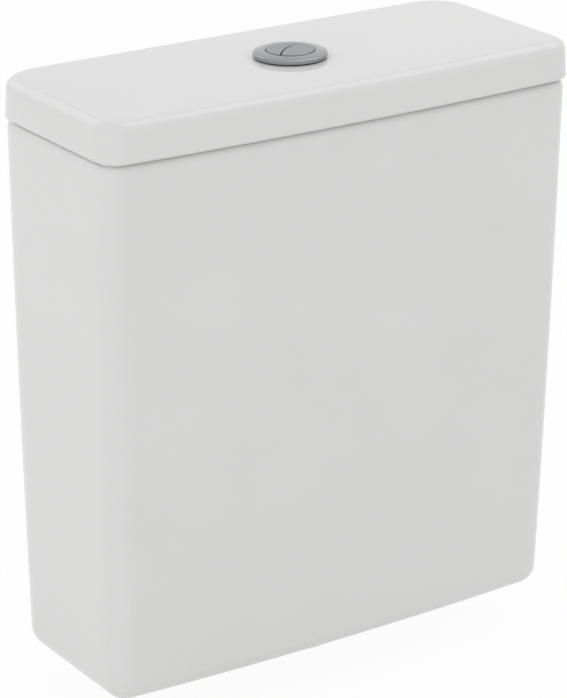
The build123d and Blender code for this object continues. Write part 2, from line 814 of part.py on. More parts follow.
export_step(valve_tower.part, "parts/valve_tower.step")

# Overflow tube: the valve's stem, with a flange over the seal and a hook over the full-flush lever
tube_top = lever_pin_height - tube_top_drop
arm_rest = lever_pin_height - stem_lift / 2
hook_bottom = arm_rest + lever_arm_radius + seat_clearance
hook_top = hook_bottom + hook_thickness
hook_outer = hook_reach + hook_thickness
seal_bottom = seat_top + seat_clearance
tube_foot = seal_bottom + seal_height
with BuildPart() as overflow_tube:
    with BuildSketch(across_plane(hook_inset, 0)):
        with BuildLine():
            Polyline(
                (tube_radius - tube_wall, tube_top - 2 * hook_root_height),
                (hook_outer, tube_top - hook_root_height),
                (hook_outer, hook_top),
                (hook_outer - hook_thickness - hook_lip, hook_top),
                (hook_outer - hook_thickness - hook_lip, hook_bottom),
                (hook_reach, hook_bottom),
                (hook_reach, tube_top - hook_thickness),
                (tube_radius - tube_wall, tube_top - hook_thickness),
                close=True,
            )
        make_face()
    extrude(amount=hook_width)
    with BuildSketch(Plane.XZ):
        with BuildLine():
            Polyline(
                (tube_end_bore, seal_bottom - retainer_height),
                (tube_end_radius, seal_bottom - retainer_height),
                (tube_end_radius, tube_foot),
                (tube_foot_radius, tube_foot),
                (tube_foot_radius, tube_foot + tube_foot_height),
                (tube_radius, tube_foot + tube_foot_height),
                (tube_radius, tube_top),
                (tube_end_bore, tube_top),
                close=True,
            )
        make_face()
    revolve(axis=Axis.Z)
    with BuildSketch(Plane.XY.offset(tube_foot)):
        Circle(tube_radius - tube_wall)
    extrude(amount=tube_top - tube_foot, mode=Mode.SUBTRACT)
overflow_tube.part.label = "overflow_tube"
export_step(overflow_tube.part, "parts/overflow_tube.step")

with BuildPart() as valve_seal:
    with BuildSketch(Plane.XY.offset(seal_bottom)):
        Circle(seal_radius)
        Circle(tube_end_radius + fit_clearance, mode=Mode.SUBTRACT)
    extrude(amount=seal_height)
valve_seal.part.label = "valve_seal"
export_step(valve_seal.part, "parts/valve_seal.step")

with BuildPart() as seal_retainer:
    with BuildSketch(Plane.XY.offset(seal_bottom - retainer_height)):
        Circle(retainer_radius)
        Circle(tube_end_radius + fit_clearance, mode=Mode.SUBTRACT)
    extrude(amount=retainer_height)
    chamfer(seal_retainer.faces().sort_by(Axis.Z)[0].outer_wire().edges(), retainer_height / 2)
seal_retainer.part.label = "seal_retainer"
export_step(seal_retainer.part, "parts/seal_retainer.step")

with BuildPart() as full_flush_float:
    with BuildSketch(Plane.XY.offset(full_float_bottom)):
        Circle(full_float_radius)
        Circle(tube_radius + fit_clearance, mode=Mode.SUBTRACT)
    extrude(amount=full_float_height)
    fillet(full_flush_float.faces().sort_by(Axis.Z)[-1].outer_wire().edges(), float_edge_radius)
    with BuildSketch(Plane.XY.offset(full_float_bottom)):
        Circle(full_float_radius - fill_float_wall)
        Circle(tube_radius + fit_clearance + fill_float_wall, mode=Mode.SUBTRACT)
    extrude(amount=full_float_height - fill_float_wall - float_edge_radius, mode=Mode.SUBTRACT)
full_flush_float.part.label = "full_flush_float"
export_step(full_flush_float.part, "parts/full_flush_float.step")

# Half-flush rod: a hook over the half-flush lever and a thin rod down to its own float
half_rod_u = hook_inset + hook_width / 2
half_rod_v = hook_reach + hook_thickness / 2
half_rod_place = turned(half_rod_u, half_rod_v, 180)
half_rod_bottom = half_float_bottom - half_rod_radius
with BuildPart() as half_flush_rod:
    with BuildSketch(across_plane(hook_inset, 180)):
        with BuildLine():
            Polyline(
                (hook_reach, tube_top - hook_root_height),
                (hook_outer, tube_top - hook_root_height),
                (hook_outer, hook_top),
                (hook_reach - hook_lip, hook_top),
                (hook_reach - hook_lip, hook_bottom),
                (hook_reach, hook_bottom),
                close=True,
            )
        make_face()
    extrude(amount=hook_width)
    with BuildSketch(flat_plane(half_rod_bottom, 180)):
        with Locations((half_rod_u, half_rod_v)):
            Circle(half_rod_radius)
    extrude(amount=tube_top - half_rod_bottom)
half_flush_rod.part.label = "half_flush_rod"
export_step(half_flush_rod.part, "parts/half_flush_rod.step")

# Half-flush float: a curved cup, open below, held on the thin rod by a boss
half_rod_angle = math.degrees(math.atan2(half_rod_place[1], half_rod_place[0]))
float_arc_start = half_rod_angle - half_float_angle / 2
with BuildPart() as half_flush_float:
    with BuildSketch(Plane.XY.offset(half_float_bottom)) as float_plan:
        with BuildLine():
            inner_arc = CenterArc((0, 0), half_float_inner, float_arc_start, half_float_angle)
            outer_arc = CenterArc((0, 0), half_float_outer, float_arc_start, half_float_angle)
            Line(inner_arc @ 0, outer_arc @ 0)
            Line(inner_arc @ 1, outer_arc @ 1)
        make_face()
        fillet(float_plan.vertices(), float_edge_radius)
    extrude(amount=half_float_height)
    offset(amount=-fill_float_wall, openings=half_flush_float.faces().sort_by(Axis.Z)[0])
    with BuildSketch(flat_plane(half_float_bottom, 180)):
        with Locations((half_rod_u, half_rod_v)):
            Circle(half_rod_radius + 2 * fill_float_wall)
    extrude(amount=half_float_height)
    with BuildSketch(flat_plane(half_float_bottom, 180)):
        with Locations((half_rod_u, half_rod_v)):
            Circle(half_rod_radius + fit_clearance)
    extrude(amount=half_float_height, mode=Mode.SUBTRACT)
half_flush_float.part.label = "half_flush_float"
export_step(half_flush_float.part, "parts/half_flush_float.step")

# Valve head: a collar on the tower's neck, two toothed rails, the rod guide plate and an eye for the thin rod
guide_plate_base = lever_pin_height + guide_plate_rise
head_top = guide_plate_base + guide_plate_height
head_plate_top = tower_neck_top + head_plate_height
tooth_places = [
    (side * rail_width / 2, head_plate_top + (tooth + 1) * rail_tooth_pitch)
    for side in (-1, 1)
    for tooth in range(rail_tooth_count)
]
with BuildPart() as valve_head:
    with BuildSketch(Plane.XY.offset(tower_neck_top - head_collar_depth)):
        Circle(head_collar_radius)
        Circle(tower_neck_radius + seat_clearance, mode=Mode.SUBTRACT)
    extrude(amount=head_collar_depth)
    with BuildSketch(Plane.XY.offset(tower_neck_top)):
        Circle(head_collar_radius)
        Circle(tube_radius + seat_clearance, mode=Mode.SUBTRACT)
    extrude(amount=head_plate_height)
    for turn in (0, 180):
        with BuildSketch(across_plane(rail_inner_half_gap, turn)):
            with Locations((0, (tower_neck_top + head_top) / 2)):
                Rectangle(rail_width, head_top - tower_neck_top)
            with Locations(*tooth_places):
                Rectangle(rail_tooth_depth, rail_tooth_depth, rotation=45, mode=Mode.SUBTRACT)
            with Locations((0, lever_pin_height)):
                Circle(lever_pin_radius + running_clearance, mode=Mode.SUBTRACT)
        extrude(amount=rail_thickness)
    with BuildSketch(flat_plane(guide_plate_base, 0)):
        Circle(guide_plate_radius)
        with Locations(*rod_places):
            Circle(rod_hole_radius, mode=Mode.SUBTRACT)
    extrude(amount=guide_plate_height)
    eye_radius = half_rod_radius + seat_clearance + guide_eye_wall
    with BuildSketch(flat_plane(tower_neck_top - head_collar_depth, 180)):
        with Locations((half_rod_u, half_rod_v)):
            Circle(eye_radius)
        Circle(tower_neck_radius + seat_clearance, mode=Mode.SUBTRACT)
    extrude(amount=guide_eye_height)
    with BuildSketch(flat_plane(tower_neck_top - head_collar_depth, 180)):
        with Locations((half_rod_u, half_rod_v)):
            Circle(half_rod_radius + seat_clearance)
    extrude(amount=head_collar_depth + head_plate_height, mode=Mode.SUBTRACT)
valve_head.part.label = "valve_head"
export_step(valve_head.part, "parts/valve_head.step")

# Places of the fill valve, round its own upright axis
fill_axis = Axis((-inlet_reach, 0, 0), (0, 0, 1))
fill_section = Plane(origin=(-inlet_reach, 0, 0), x_dir=(1, 0, 0), z_dir=(0, -1, 0))
inlet_flange_bottom = floor_top + inlet_seal_height
inlet_flange_top = inlet_flange_bottom + inlet_flange_height
inlet_nut_bottom = foot_height - inlet_nut_height
shank_fit_radius = shank_tube_radius + fit_clearance
riser_top = tank_height - riser_drop
fill_float_bottom = riser_top - fill_float_drop
fill_head_top = riser_top + fill_head_height
fill_cap_top = fill_head_top + fill_cap_height
elbow_height = riser_top + outlet_elbow_height
socket_bore = outlet_tube_radius + fit_clearance
socket_radius = socket_bore + outlet_socket_wall
outlet_bore = outlet_tube_radius - outlet_tube_wall
pivot_height = fill_cap_top + float_pivot_rise
ear_inside = float_arm_thickness / 2 + seat_clearance
fill_float_top = fill_float_bottom + fill_float_height

# Swing of the float lever: half of it each side of level, from the float's travel
float_half_swing = math.asin(fill_float_travel / 2 / float_arm_reach)
link_across = ear_inside + link_eye_thickness / 2
link_reach = float_arm_reach * (1 + math.cos(float_half_swing)) / 2
eye_height = pivot_height - fill_float_travel / 2
print("float lever turn", math.degrees(2 * float_half_swing))


def fill_plane(z):
    """Level plane at a height, centred on the fill valve."""
    return Plane(origin=(-inlet_reach, 0, z))


def fill_side_plane(x):
    """Upright plane across the float lever's pin, with +Y to the right and +Z up."""
    return Plane(origin=(x - inlet_reach, 0, 0), x_dir=(0, 1, 0), z_dir=(1, 0, 0))


# Fill valve shank: threaded inlet tail, flange on the tank floor and the tube that carries the riser
with BuildPart() as fill_valve_shank:
    with BuildSketch(fill_section):
        with BuildLine():
            Polyline(
                (inlet_bore_radius, -inlet_drop),
                (inlet_crest_radius, -inlet_drop),
                (inlet_crest_radius, inlet_nut_bottom),
                (inlet_core_radius, inlet_nut_bottom),
                (inlet_core_radius, inlet_flange_bottom),
                (inlet_flange_radius, inlet_flange_bottom),
                (inlet_flange_radius, inlet_flange_top),
                (shank_tube_radius, inlet_flange_top),
                (shank_tube_radius, shank_top),
                (inlet_bore_radius, shank_top),
                close=True,
            )
        make_face()
    revolve(axis=fill_axis)
fill_valve_shank.part.label = "fill_valve_shank"
export_step(fill_valve_shank.part, "parts/fill_valve_shank.step")

# Seal above the floor and flanged hexagon nut below it
with BuildPart() as fill_valve_seal:
    with BuildSketch(fill_plane(floor_top)):
        Circle(inlet_seal_radius)
        Circle(inlet_core_radius + seat_clearance, mode=Mode.SUBTRACT)
    extrude(amount=inlet_seal_height)
fill_valve_seal.part.label = "fill_valve_seal"
export_step(fill_valve_seal.part, "parts/fill_valve_seal.step")

with BuildPart() as fill_valve_back_nut:
    with BuildSketch(fill_plane(inlet_nut_bottom)):
        RegularPolygon(inlet_nut_flats / 2, 6, major_radius=False)
    extrude(amount=inlet_nut_height)
    with BuildSketch(fill_plane(foot_height - inlet_nut_flange_height)):
        Circle(inlet_nut_flange_radius)
    extrude(amount=inlet_nut_flange_height)
    with BuildSketch(fill_plane(inlet_nut_bottom)):
        Circle(inlet_core_radius + fit_clearance)
    extrude(amount=inlet_nut_height, mode=Mode.SUBTRACT)
fill_valve_back_nut.part.label = "fill_valve_back_nut"
export_step(fill_valve_back_nut.part, "parts/fill_valve_back_nut.step")

# Inlet filter: a slotted thimble in the inlet tail, with a rim at its open end
filter_bottom = filter_rim_height - inlet_drop
with BuildPart() as inlet_filter:
    with BuildSketch(fill_plane(filter_bottom)):
        Circle(inlet_bore_radius - fit_clearance)
    extrude(amount=filter_rim_height)
    with BuildSketch(fill_plane(filter_bottom)):
        Circle(filter_radius)
    extrude(amount=filter_height)
    with BuildSketch(fill_plane(filter_bottom)):
        Circle(filter_radius - filter_wall)
    extrude(amount=filter_height - filter_wall, mode=Mode.SUBTRACT)
    for slot in range(filter_slot_count // 2):
        with BuildSketch(fill_section.rotated((0, slot * 360 / filter_slot_count, 0))):
            with Locations((0, filter_bottom + filter_rim_height + filter_height / 2)):
                SlotOverall(filter_slot_length, filter_slot_width, rotation=90)
        extrude(amount=filter_radius, both=True, mode=Mode.SUBTRACT)
inlet_filter.part.label = "inlet_filter"
export_step(inlet_filter.part, "parts/inlet_filter.step")

# Riser: the ribbed tube the float slides on, with a collar that clips the outlet tube
with BuildPart() as fill_riser:
    with BuildSketch(fill_plane(riser_bottom)):
        Circle(riser_collar_radius)
        with Locations((0, outlet_tube_reach)):
            Circle(socket_radius)
        with Locations((0, outlet_tube_reach / 2)):
            Rectangle(2 * riser_rib_width, outlet_tube_reach)
        with Locations((0, outlet_tube_reach)):
            Circle(socket_bore, mode=Mode.SUBTRACT)
    extrude(amount=riser_collar_height)
    with BuildSketch(fill_plane(riser_bottom)):
        Circle(riser_radius)
        with PolarLocations(riser_radius, riser_rib_count):
            Rectangle(2 * riser_rib_depth, riser_rib_width)
    extrude(amount=riser_top - riser_bottom)
    with BuildSketch(fill_plane(riser_bottom)):
        Circle(shank_fit_radius)
    extrude(amount=shank_top + seat_clearance - riser_bottom, mode=Mode.SUBTRACT)
    with BuildSketch(fill_plane(shank_top)):
        Circle(shank_tube_radius - riser_wall)
    extrude(amount=riser_top - shank_top, mode=Mode.SUBTRACT)
fill_riser.part.label = "fill_riser"
export_step(fill_riser.part, "parts/fill_riser.step")

# Fill valve head: a nozzle inside a ring-shaped chamber, and an elbow that leads the water out and down
with BuildPart() as fill_valve_head:
    with BuildSketch(fill_plane(riser_top)):
        Circle(fill_head_radius)
    extrude(amount=fill_head_height)
    elbow_mouth = Plane(origin=(-inlet_reach, 0, elbow_height), x_dir=(1, 0, 0), z_dir=(0, 1, 0))
    with BuildSketch(elbow_mouth):
        Circle(outlet_tube_radius)
    extrude(amount=outlet_tube_reach)
    with BuildSketch(fill_plane(riser_top - outlet_socket_depth)):
        with Locations((0, outlet_tube_reach)):
            Circle(socket_radius)
    extrude(amount=outlet_socket_depth + outlet_elbow_height + socket_radius)
    fillet(fill_valve_head.faces().group_by(Axis.Z)[-2].edges(), outlet_socket_wall)
    with BuildSketch(fill_plane(riser_top)):
        Circle(fill_nozzle_radius)
    extrude(amount=fill_head_height, mode=Mode.SUBTRACT)
    with BuildSketch(fill_plane(fill_head_top - fill_chamber_depth)):
        Circle(fill_head_radius - fill_head_wall)
        Circle(fill_nozzle_radius + fill_nozzle_wall, mode=Mode.SUBTRACT)
    extrude(amount=fill_chamber_depth, mode=Mode.SUBTRACT)
    with BuildSketch(fill_plane(fill_head_top - seat_clearance)):
        Circle(fill_head_radius - fill_head_wall)
    extrude(amount=seat_clearance, mode=Mode.SUBTRACT)
    with BuildSketch(fill_plane(elbow_height)):
        with Locations((0, fill_port_reach)):
            Circle(fill_port_radius)
    extrude(amount=fill_head_top - elbow_height, mode=Mode.SUBTRACT)
    with BuildSketch(elbow_mouth.offset(fill_port_reach)):
        Circle(outlet_bore - outlet_tube_wall)
    extrude(amount=outlet_tube_reach - fill_port_reach, mode=Mode.SUBTRACT)
    with BuildSketch(fill_plane(riser_top)):
        with Locations((0, outlet_tube_reach)):
            Circle(outlet_bore)
    extrude(amount=outlet_elbow_height + outlet_bore, mode=Mode.SUBTRACT)
    with BuildSketch(fill_plane(riser_top - outlet_socket_depth)):
        with Locations((0, outlet_tube_reach)):
            Circle(socket_bore)
    extrude(amount=outlet_socket_depth, mode=Mode.SUBTRACT)
fill_valve_head.part.label = "fill_valve_head"
export_step(fill_valve_head.part, "parts/fill_valve_head.step")

# Outlet tube: carries the water down to the tank floor, quietly
with BuildPart() as fill_outlet_tube:
    with BuildSketch(fill_plane(outlet_tube_bottom)):
        with Locations((0, outlet_tube_reach)):
            Circle(outlet_tube_radius)
            Circle(outlet_bore, mode=Mode.SUBTRACT)
    extrude(amount=riser_top - outlet_tube_bottom)
fill_outlet_tube.part.label = "fill_outlet_tube"
export_step(fill_outlet_tube.part, "parts/fill_outlet_tube.step")

# Diaphragm on the head's rim and nozzle, and the cap that clamps it and carries the lever's ears
with BuildPart() as fill_diaphragm:
    with BuildSketch(fill_plane(fill_head_top)):
        Circle(fill_head_radius - fill_head_wall / 2)
    extrude(amount=diaphragm_height)
fill_diaphragm.part.label = "fill_diaphragm"
export_step(fill_diaphragm.part, "parts/fill_diaphragm.step")

with BuildPart() as fill_valve_cap:
    with BuildSketch(fill_plane(fill_head_top - fill_cap_skirt)):
        Circle(fill_cap_radius)
        with PolarLocations(fill_cap_radius, fill_cap_grip_count):
            Circle(fill_cap_grip_radius, mode=Mode.SUBTRACT)
    extrude(amount=fill_cap_skirt + fill_cap_height)
    with BuildSketch(fill_plane(fill_head_top - fill_cap_skirt)):
        Circle(fill_head_radius + fit_clearance)
    extrude(amount=fill_cap_skirt + diaphragm_height + seat_clearance, mode=Mode.SUBTRACT)
    with BuildSketch(fill_plane(fill_head_top + diaphragm_height)):
        Circle(fill_head_radius - 2 * fill_head_wall)
    extrude(amount=fill_cap_room, mode=Mode.SUBTRACT)
    for ear_left in (-ear_inside - pivot_ear_thickness, ear_inside):
        with BuildSketch(fill_side_plane(ear_left)):
            with Locations((0, pivot_height)):
                Circle(pivot_ear_width / 2)
            with Locations((0, pivot_height - float_pivot_rise / 2)):
                Rectangle(pivot_ear_width, float_pivot_rise)
            with Locations((0, pivot_height)):
                Circle(float_pin_radius + running_clearance, mode=Mode.SUBTRACT)
        extrude(amount=pivot_ear_thickness)
    with BuildSketch(fill_plane(fill_cap_top)):
        with Locations((0, float_arm_tail)):
            Circle(pilot_seat_radius)
    extrude(amount=pilot_seat_height)
fill_valve_cap.part.label = "fill_valve_cap"
export_step(fill_valve_cap.part, "parts/fill_valve_cap.step")

# Fill float: a ring-shaped cup, open below, with a lug that holds the adjusting link
with BuildPart() as fill_float:
    with BuildSketch(fill_section) as cup_profile:
        with BuildLine():
            Polyline(
                (fill_float_inner, fill_float_bottom),
                (fill_float_inner + fill_float_wall, fill_float_bottom),
                (fill_float_inner + fill_float_wall, fill_float_top - fill_float_wall),
                (fill_float_outer - fill_float_wall, fill_float_top - fill_float_wall),
                (fill_float_outer - fill_float_wall, fill_float_bottom),
                (fill_float_outer, fill_float_bottom),
                (fill_float_outer, fill_float_top),
                (fill_float_inner, fill_float_top),
                close=True,
            )
        make_face()
        fillet(cup_profile.vertices().sort_by(Axis.X)[-2:].sort_by(Axis.Y)[-1], fill_float_wall / 2)
    revolve(axis=fill_axis)
    web_inside = fill_float_outer - fill_float_wall / 2
    with BuildSketch(fill_plane(fill_float_top - link_lug_height)):
        with Locations((link_across, -link_reach)):
            Circle(link_radius + link_lug_wall)
        with Locations((link_across, -(link_reach + web_inside) / 2)):
            Rectangle(2 * link_lug_wall, link_reach - web_inside)
        with Locations((link_across, -link_reach)):
            Circle(link_radius + fit_clearance, mode=Mode.SUBTRACT)
    extrude(amount=link_lug_height - fill_float_wall)
fill_float.part.label = "fill_float"
export_step(fill_float.part, "parts/fill_float.step")

# Float link: a thin rod gripped by the lug, with an eye round the lever's tip pin
link_bottom = fill_float_top - link_lug_height - link_tail
with BuildPart() as float_link:
    with BuildSketch(fill_plane(link_bottom)):
        with Locations((link_across, -link_reach)):
            Circle(link_radius)
    extrude(amount=eye_height - (link_eye_radius + link_eye_bore) / 2 - link_bottom)
    with BuildSketch(fill_side_plane(ear_inside)):
        with Locations((-link_reach, eye_height)):
            Circle(link_eye_radius)
            Circle(link_eye_bore, mode=Mode.SUBTRACT)
    extrude(amount=link_eye_thickness)
float_link.part.label = "float_link"
export_step(float_link.part, "parts/float_link.step")

# Float lever: a straight arm with a hub, a tail over the pilot seat and a tip pin in the link's eye
lever_side = Plane(
    origin=(-inlet_reach - float_arm_thickness / 2, 0, pivot_height),
    x_dir=(0, -math.cos(float_half_swing), -math.sin(float_half_swing)),
    z_dir=(1, 0, 0),
)
with BuildPart() as float_lever:
    with BuildSketch(lever_side):
        Circle(float_hub_radius)
        with Locations(((float_arm_reach - float_arm_tail) / 2, 0)):
            SlotCenterToCenter(float_arm_reach + float_arm_tail, float_arm_height)
    extrude(amount=float_arm_thickness)
    with BuildSketch(lever_side):
        with Locations((float_arm_reach, 0)):
            Circle(float_pin_radius)
    extrude(amount=float_arm_thickness + link_eye_thickness + lever_pin_end)
    with BuildSketch(lever_side):
        Circle(float_pin_radius + running_clearance)
    extrude(amount=float_arm_thickness, mode=Mode.SUBTRACT)
float_lever.part.label = "float_lever"
export_step(float_lever.part, "parts/float_lever.step")

float_pin_half_length = ear_inside + pivot_ear_thickness + lever_pin_end
with BuildPart() as float_lever_pin:
    with BuildSketch(fill_side_plane(-float_pin_half_length)):
        with Locations((0, pivot_height)):
            Circle(float_pin_radius)
    extrude(amount=2 * float_pin_half_length)
float_lever_pin.part.label = "float_lever_pin"
export_step(float_lever_pin.part, "parts/float_lever_pin.step")

# Close-coupling bolts: slotted domed heads inside the tank, threaded tails down through the pan's ledge
head_bottom = floor_top + bolt_seal_height + bolt_washer_height
tank_nut_bottom = foot_height - tank_nut_height
ledge_bottom = tank_nut_bottom - pan_ledge
wing_top = ledge_bottom - pan_washer_height
wing_bottom = wing_top - wing_hub_height
with BuildPart() as coupling_bolts:
    with BuildSketch(Plane.XY.offset(-bolt_drop)):
        with Locations(*bolt_places):
            Circle(bolt_core_radius)
    extrude(amount=head_bottom + bolt_drop)
    with BuildSketch(Plane.XY.offset(ledge_bottom)):
        with Locations(*bolt_places):
            Circle(bolt_crest_radius)
    extrude(amount=pan_ledge)
    with BuildSketch(Plane.XY.offset(head_bottom)):
        with Locations(*bolt_places):
            Circle(bolt_head_radius)
    extrude(amount=bolt_head_height)
    fillet(coupling_bolts.faces().group_by(Axis.Z)[-1].edges(), bolt_head_height / 2)
    with BuildSketch(Plane.XY.offset(head_bottom + bolt_head_height - bolt_slot_depth)):
        with Locations(*bolt_places):
            Rectangle(2 * bolt_head_radius, bolt_slot_width)
    extrude(amount=bolt_slot_depth, mode=Mode.SUBTRACT)
coupling_bolts.part.label = "coupling_bolts"
export_step(coupling_bolts.part, "parts/coupling_bolts.step")


def bolt_rings(bottom, height, radius, bore_clearance):
    """A flat ring round each bolt."""
    with BuildPart() as rings:
        with BuildSketch(Plane.XY.offset(bottom)):
            with Locations(*bolt_places):
                Circle(radius)
                Circle(bolt_core_radius + bore_clearance, mode=Mode.SUBTRACT)
        extrude(amount=height)
    return rings.part


# Seals and washers under the bolt heads, and washers under the pan's ledge
bolt_seals = bolt_rings(floor_top, bolt_seal_height, bolt_seal_radius, seat_clearance)
bolt_seals.label = "bolt_seals"
export_step(bolt_seals, "parts/bolt_seals.step")
bolt_washers = bolt_rings(floor_top + bolt_seal_height, bolt_washer_height, bolt_washer_radius, seat_clearance)
bolt_washers.label = "bolt_washers"
export_step(bolt_washers, "parts/bolt_washers.step")
pan_washers = bolt_rings(wing_top, pan_washer_height, pan_washer_radius, seat_clearance)
pan_washers.label = "pan_washers"
export_step(pan_washers, "parts/pan_washers.step")

# Hexagon nuts against the tank's underside, and wing nuts below the pan washers
with BuildPart() as tank_nuts:
    with BuildSketch(Plane.XY.offset(tank_nut_bottom)):
        with Locations(*bolt_places):
            RegularPolygon(tank_nut_flats / 2, 6, major_radius=False)
            Circle(bolt_core_radius + fit_clearance, mode=Mode.SUBTRACT)
    extrude(amount=tank_nut_height)
tank_nuts.part.label = "tank_nuts"
export_step(tank_nuts.part, "parts/tank_nuts.step")

with BuildPart() as wing_nuts:
    with BuildSketch(Plane.XY.offset(wing_bottom)):
        with Locations(*bolt_places):
            Circle(wing_hub_radius)
            SlotOverall(2 * wing_reach, wing_thickness)
            Circle(bolt_core_radius + fit_clearance, mode=Mode.SUBTRACT)
    extrude(amount=wing_hub_height)
    with BuildSketch(Plane.XZ.offset(-wing_thickness / 2)):
        for bolt_x in (-bolt_reach, bolt_reach):
            with Locations((bolt_x - wing_reach, wing_bottom), (bolt_x + wing_reach, wing_bottom)):
                Circle(wing_tip_radius)
    extrude(amount=wing_thickness)
wing_nuts.part.label = "wing_nuts"
export_step(wing_nuts.part, "parts/wing_nuts.step")
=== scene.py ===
import math

import bmesh
import bpy
from mathutils import Matrix, Vector


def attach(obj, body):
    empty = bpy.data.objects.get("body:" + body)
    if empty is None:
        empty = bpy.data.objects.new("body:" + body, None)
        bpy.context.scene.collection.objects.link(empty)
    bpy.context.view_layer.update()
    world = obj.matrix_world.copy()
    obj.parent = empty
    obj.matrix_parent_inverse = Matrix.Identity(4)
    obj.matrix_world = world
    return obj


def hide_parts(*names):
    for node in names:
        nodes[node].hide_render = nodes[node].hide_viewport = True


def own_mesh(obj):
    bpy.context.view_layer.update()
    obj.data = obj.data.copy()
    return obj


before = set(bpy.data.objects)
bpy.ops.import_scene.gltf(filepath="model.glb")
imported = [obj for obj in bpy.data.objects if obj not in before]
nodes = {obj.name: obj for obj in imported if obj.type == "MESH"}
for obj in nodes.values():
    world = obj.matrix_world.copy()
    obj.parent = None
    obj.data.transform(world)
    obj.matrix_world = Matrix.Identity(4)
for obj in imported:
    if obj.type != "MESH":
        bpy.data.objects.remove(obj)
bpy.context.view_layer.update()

# Tank. A slip-cast vitreous china shell with thick soft corners, leaning in towards its foot.
# It is dipped in white glaze and fired standing on its foot, so only the foot's underside is bare clay.
TANK_HALF_WIDTH, TANK_DEPTH, TANK_HEIGHT = 0.18075, 0.1534, 0.3744
TANK_BACK = 0.079
TANK_FRONT = TANK_BACK - TANK_DEPTH
FRONT_BOW = 0.00525
TANK_CORNERS = (0.016, 0.030)  # front and back, as all pairs of corners are
CAVITY_CORNERS = (0.012, 0.022)
LEAST_CORNER = 0.0015
SIDE_LEAN, FRONT_LEAN = (0.0047, 0.25), (0.0122, 0.8)  # total, and the share that is straight
TANK_WALL, TANK_FLOOR = 0.009, 0.020
FOOT_HEIGHT, FOOT_WIDTH, FOOT_CORNER, FOOT_LIP = 0.010, 0.012, 0.006, 0.0008
BASE_EDGE, RIM_EDGE, INNER_RIM_EDGE, CAVITY_EDGE = 0.0129, 0.0052, 0.0025, 0.007
CORNER_STEPS, SIDE_STEPS, WALL_STEPS = 14, 10, 30
BASE_STEPS, RIM_STEPS, CAVITY_STEPS = 12, 5, 8
SHARP_ANGLE = 35


def plan_ring(half_width, front, back, bow, corners):
    """Points of one level outline, counter-clockwise, with a bowed front and four rounded corners."""
    front_radius, back_radius = corners
    slope = math.atan(2 * bow * (half_width - front_radius) / half_width**2)
    meet_x = half_width - front_radius + front_radius * math.sin(slope)
    meet_y = front + bow * (meet_x / half_width) ** 2
    centre_y = meet_y + front_radius * math.cos(slope)
    right = []
    for step in range(SIDE_STEPS):
        x = meet_x * step / SIDE_STEPS
        right.append((x, front + bow * (x / half_width) ** 2))
    for step in range(CORNER_STEPS + 1):
        angle = (slope - math.pi / 2) * (1 - step / CORNER_STEPS)
        x = half_width - front_radius * (1 - math.cos(angle))
        right.append((x, centre_y + front_radius * math.sin(angle)))
    for step in range(1, SIDE_STEPS):
        share = step / SIDE_STEPS
        right.append((half_width, centre_y + (back - back_radius - centre_y) * share))
    for step in range(CORNER_STEPS + 1):
        angle = math.pi / 2 * step / CORNER_STEPS
        x = half_width - back_radius * (1 - math.cos(angle))
        right.append((x, back - back_radius * (1 - math.sin(angle))))
    for step in range(1, SIDE_STEPS):
        right.append(((half_width - back_radius) * (1 - step / SIDE_STEPS), back))
    left = [(-x, y) for x, y in reversed(right[1:])]
    return right + [(0.0, back)] + left


def placed(name, mesh, sharp_angle):
    """A mesh put in the scene as an object at the origin, smooth except at sharp turns."""
    mesh.polygons.foreach_set("use_smooth", [True] * len(mesh.polygons))
    mesh.set_sharp_from_angle(angle=math.radians(sharp_angle))
    piece = bpy.data.objects.new(name, mesh)
    bpy.context.collection.objects.link(piece)
    return piece


def finished(name, shape):
    """A mesh object from a bmesh, with its faces turned outwards."""
    bmesh.ops.recalc_face_normals(shape, faces=shape.faces)
    mesh = bpy.data.meshes.new(name)
    shape.to_mesh(mesh)
    shape.free()
    return placed(name, mesh, SHARP_ANGLE)


def skinned(shape, low, high):
    """Faces between two rings of vertices."""
    for i in range(len(low)):
        j = (i + 1) % len(low)
        shape.faces.new((low[i], low[j], high[j], high[i]))


def ring_stack(name, levels):
    """A closed shell through level rings, each given as (height, outline), with its two ends filled."""
    shape = bmesh.new()
    rings = [[shape.verts.new((x, y, z)) for x, y in outline] for z, outline in levels]
    for low, high in zip(rings, rings[1:]):
        skinned(shape, low, high)
    shape.faces.new(list(reversed(rings[0])))
    shape.faces.new(rings[-1])
    return finished(name, shape)


def settled(piece, sharp_angle=SHARP_ANGLE):
    """The piece with its modifiers worked into its mesh."""
    evaluated = piece.evaluated_get(bpy.context.evaluated_depsgraph_get())
    mesh = bpy.data.meshes.new_from_object(evaluated)
    name = piece.name
    bpy.data.objects.remove(piece)
    return placed(name, mesh, sharp_angle)


def cylinder(name, radius, low, high, steps=96):
    """A plain closed cylinder between two points, used to cut holes."""
    low, high = Vector(low), Vector(high)
    shape = bmesh.new()
    bmesh.ops.create_cone(
        shape, cap_ends=True, segments=steps, radius1=radius, radius2=radius, depth=(high - low).length
    )
    turn = (high - low).to_track_quat("Z", "Y").to_matrix().to_4x4()
    shape.transform(Matrix.Translation((low + high) / 2) @ turn)
    return finished(name, shape)


def joined(piece, others, operation):
    """The piece cut by, or grown with, other closed shapes, which are used up."""
    for other in others:
        change = piece.modifiers.new(other.name, "BOOLEAN")
        change.operation = operation
        change.solver = "EXACT"
        change.object = other
    bpy.context.view_layer.update()
    piece = settled(piece)
    for other in others:
        bpy.data.objects.remove(other)
    return piece


def lean(share, total, linear_share):
    """Inward lean of a wall at a share of the drop from the rim to the foot."""
    return total * (linear_share * share + (1 - linear_share) * share**2)


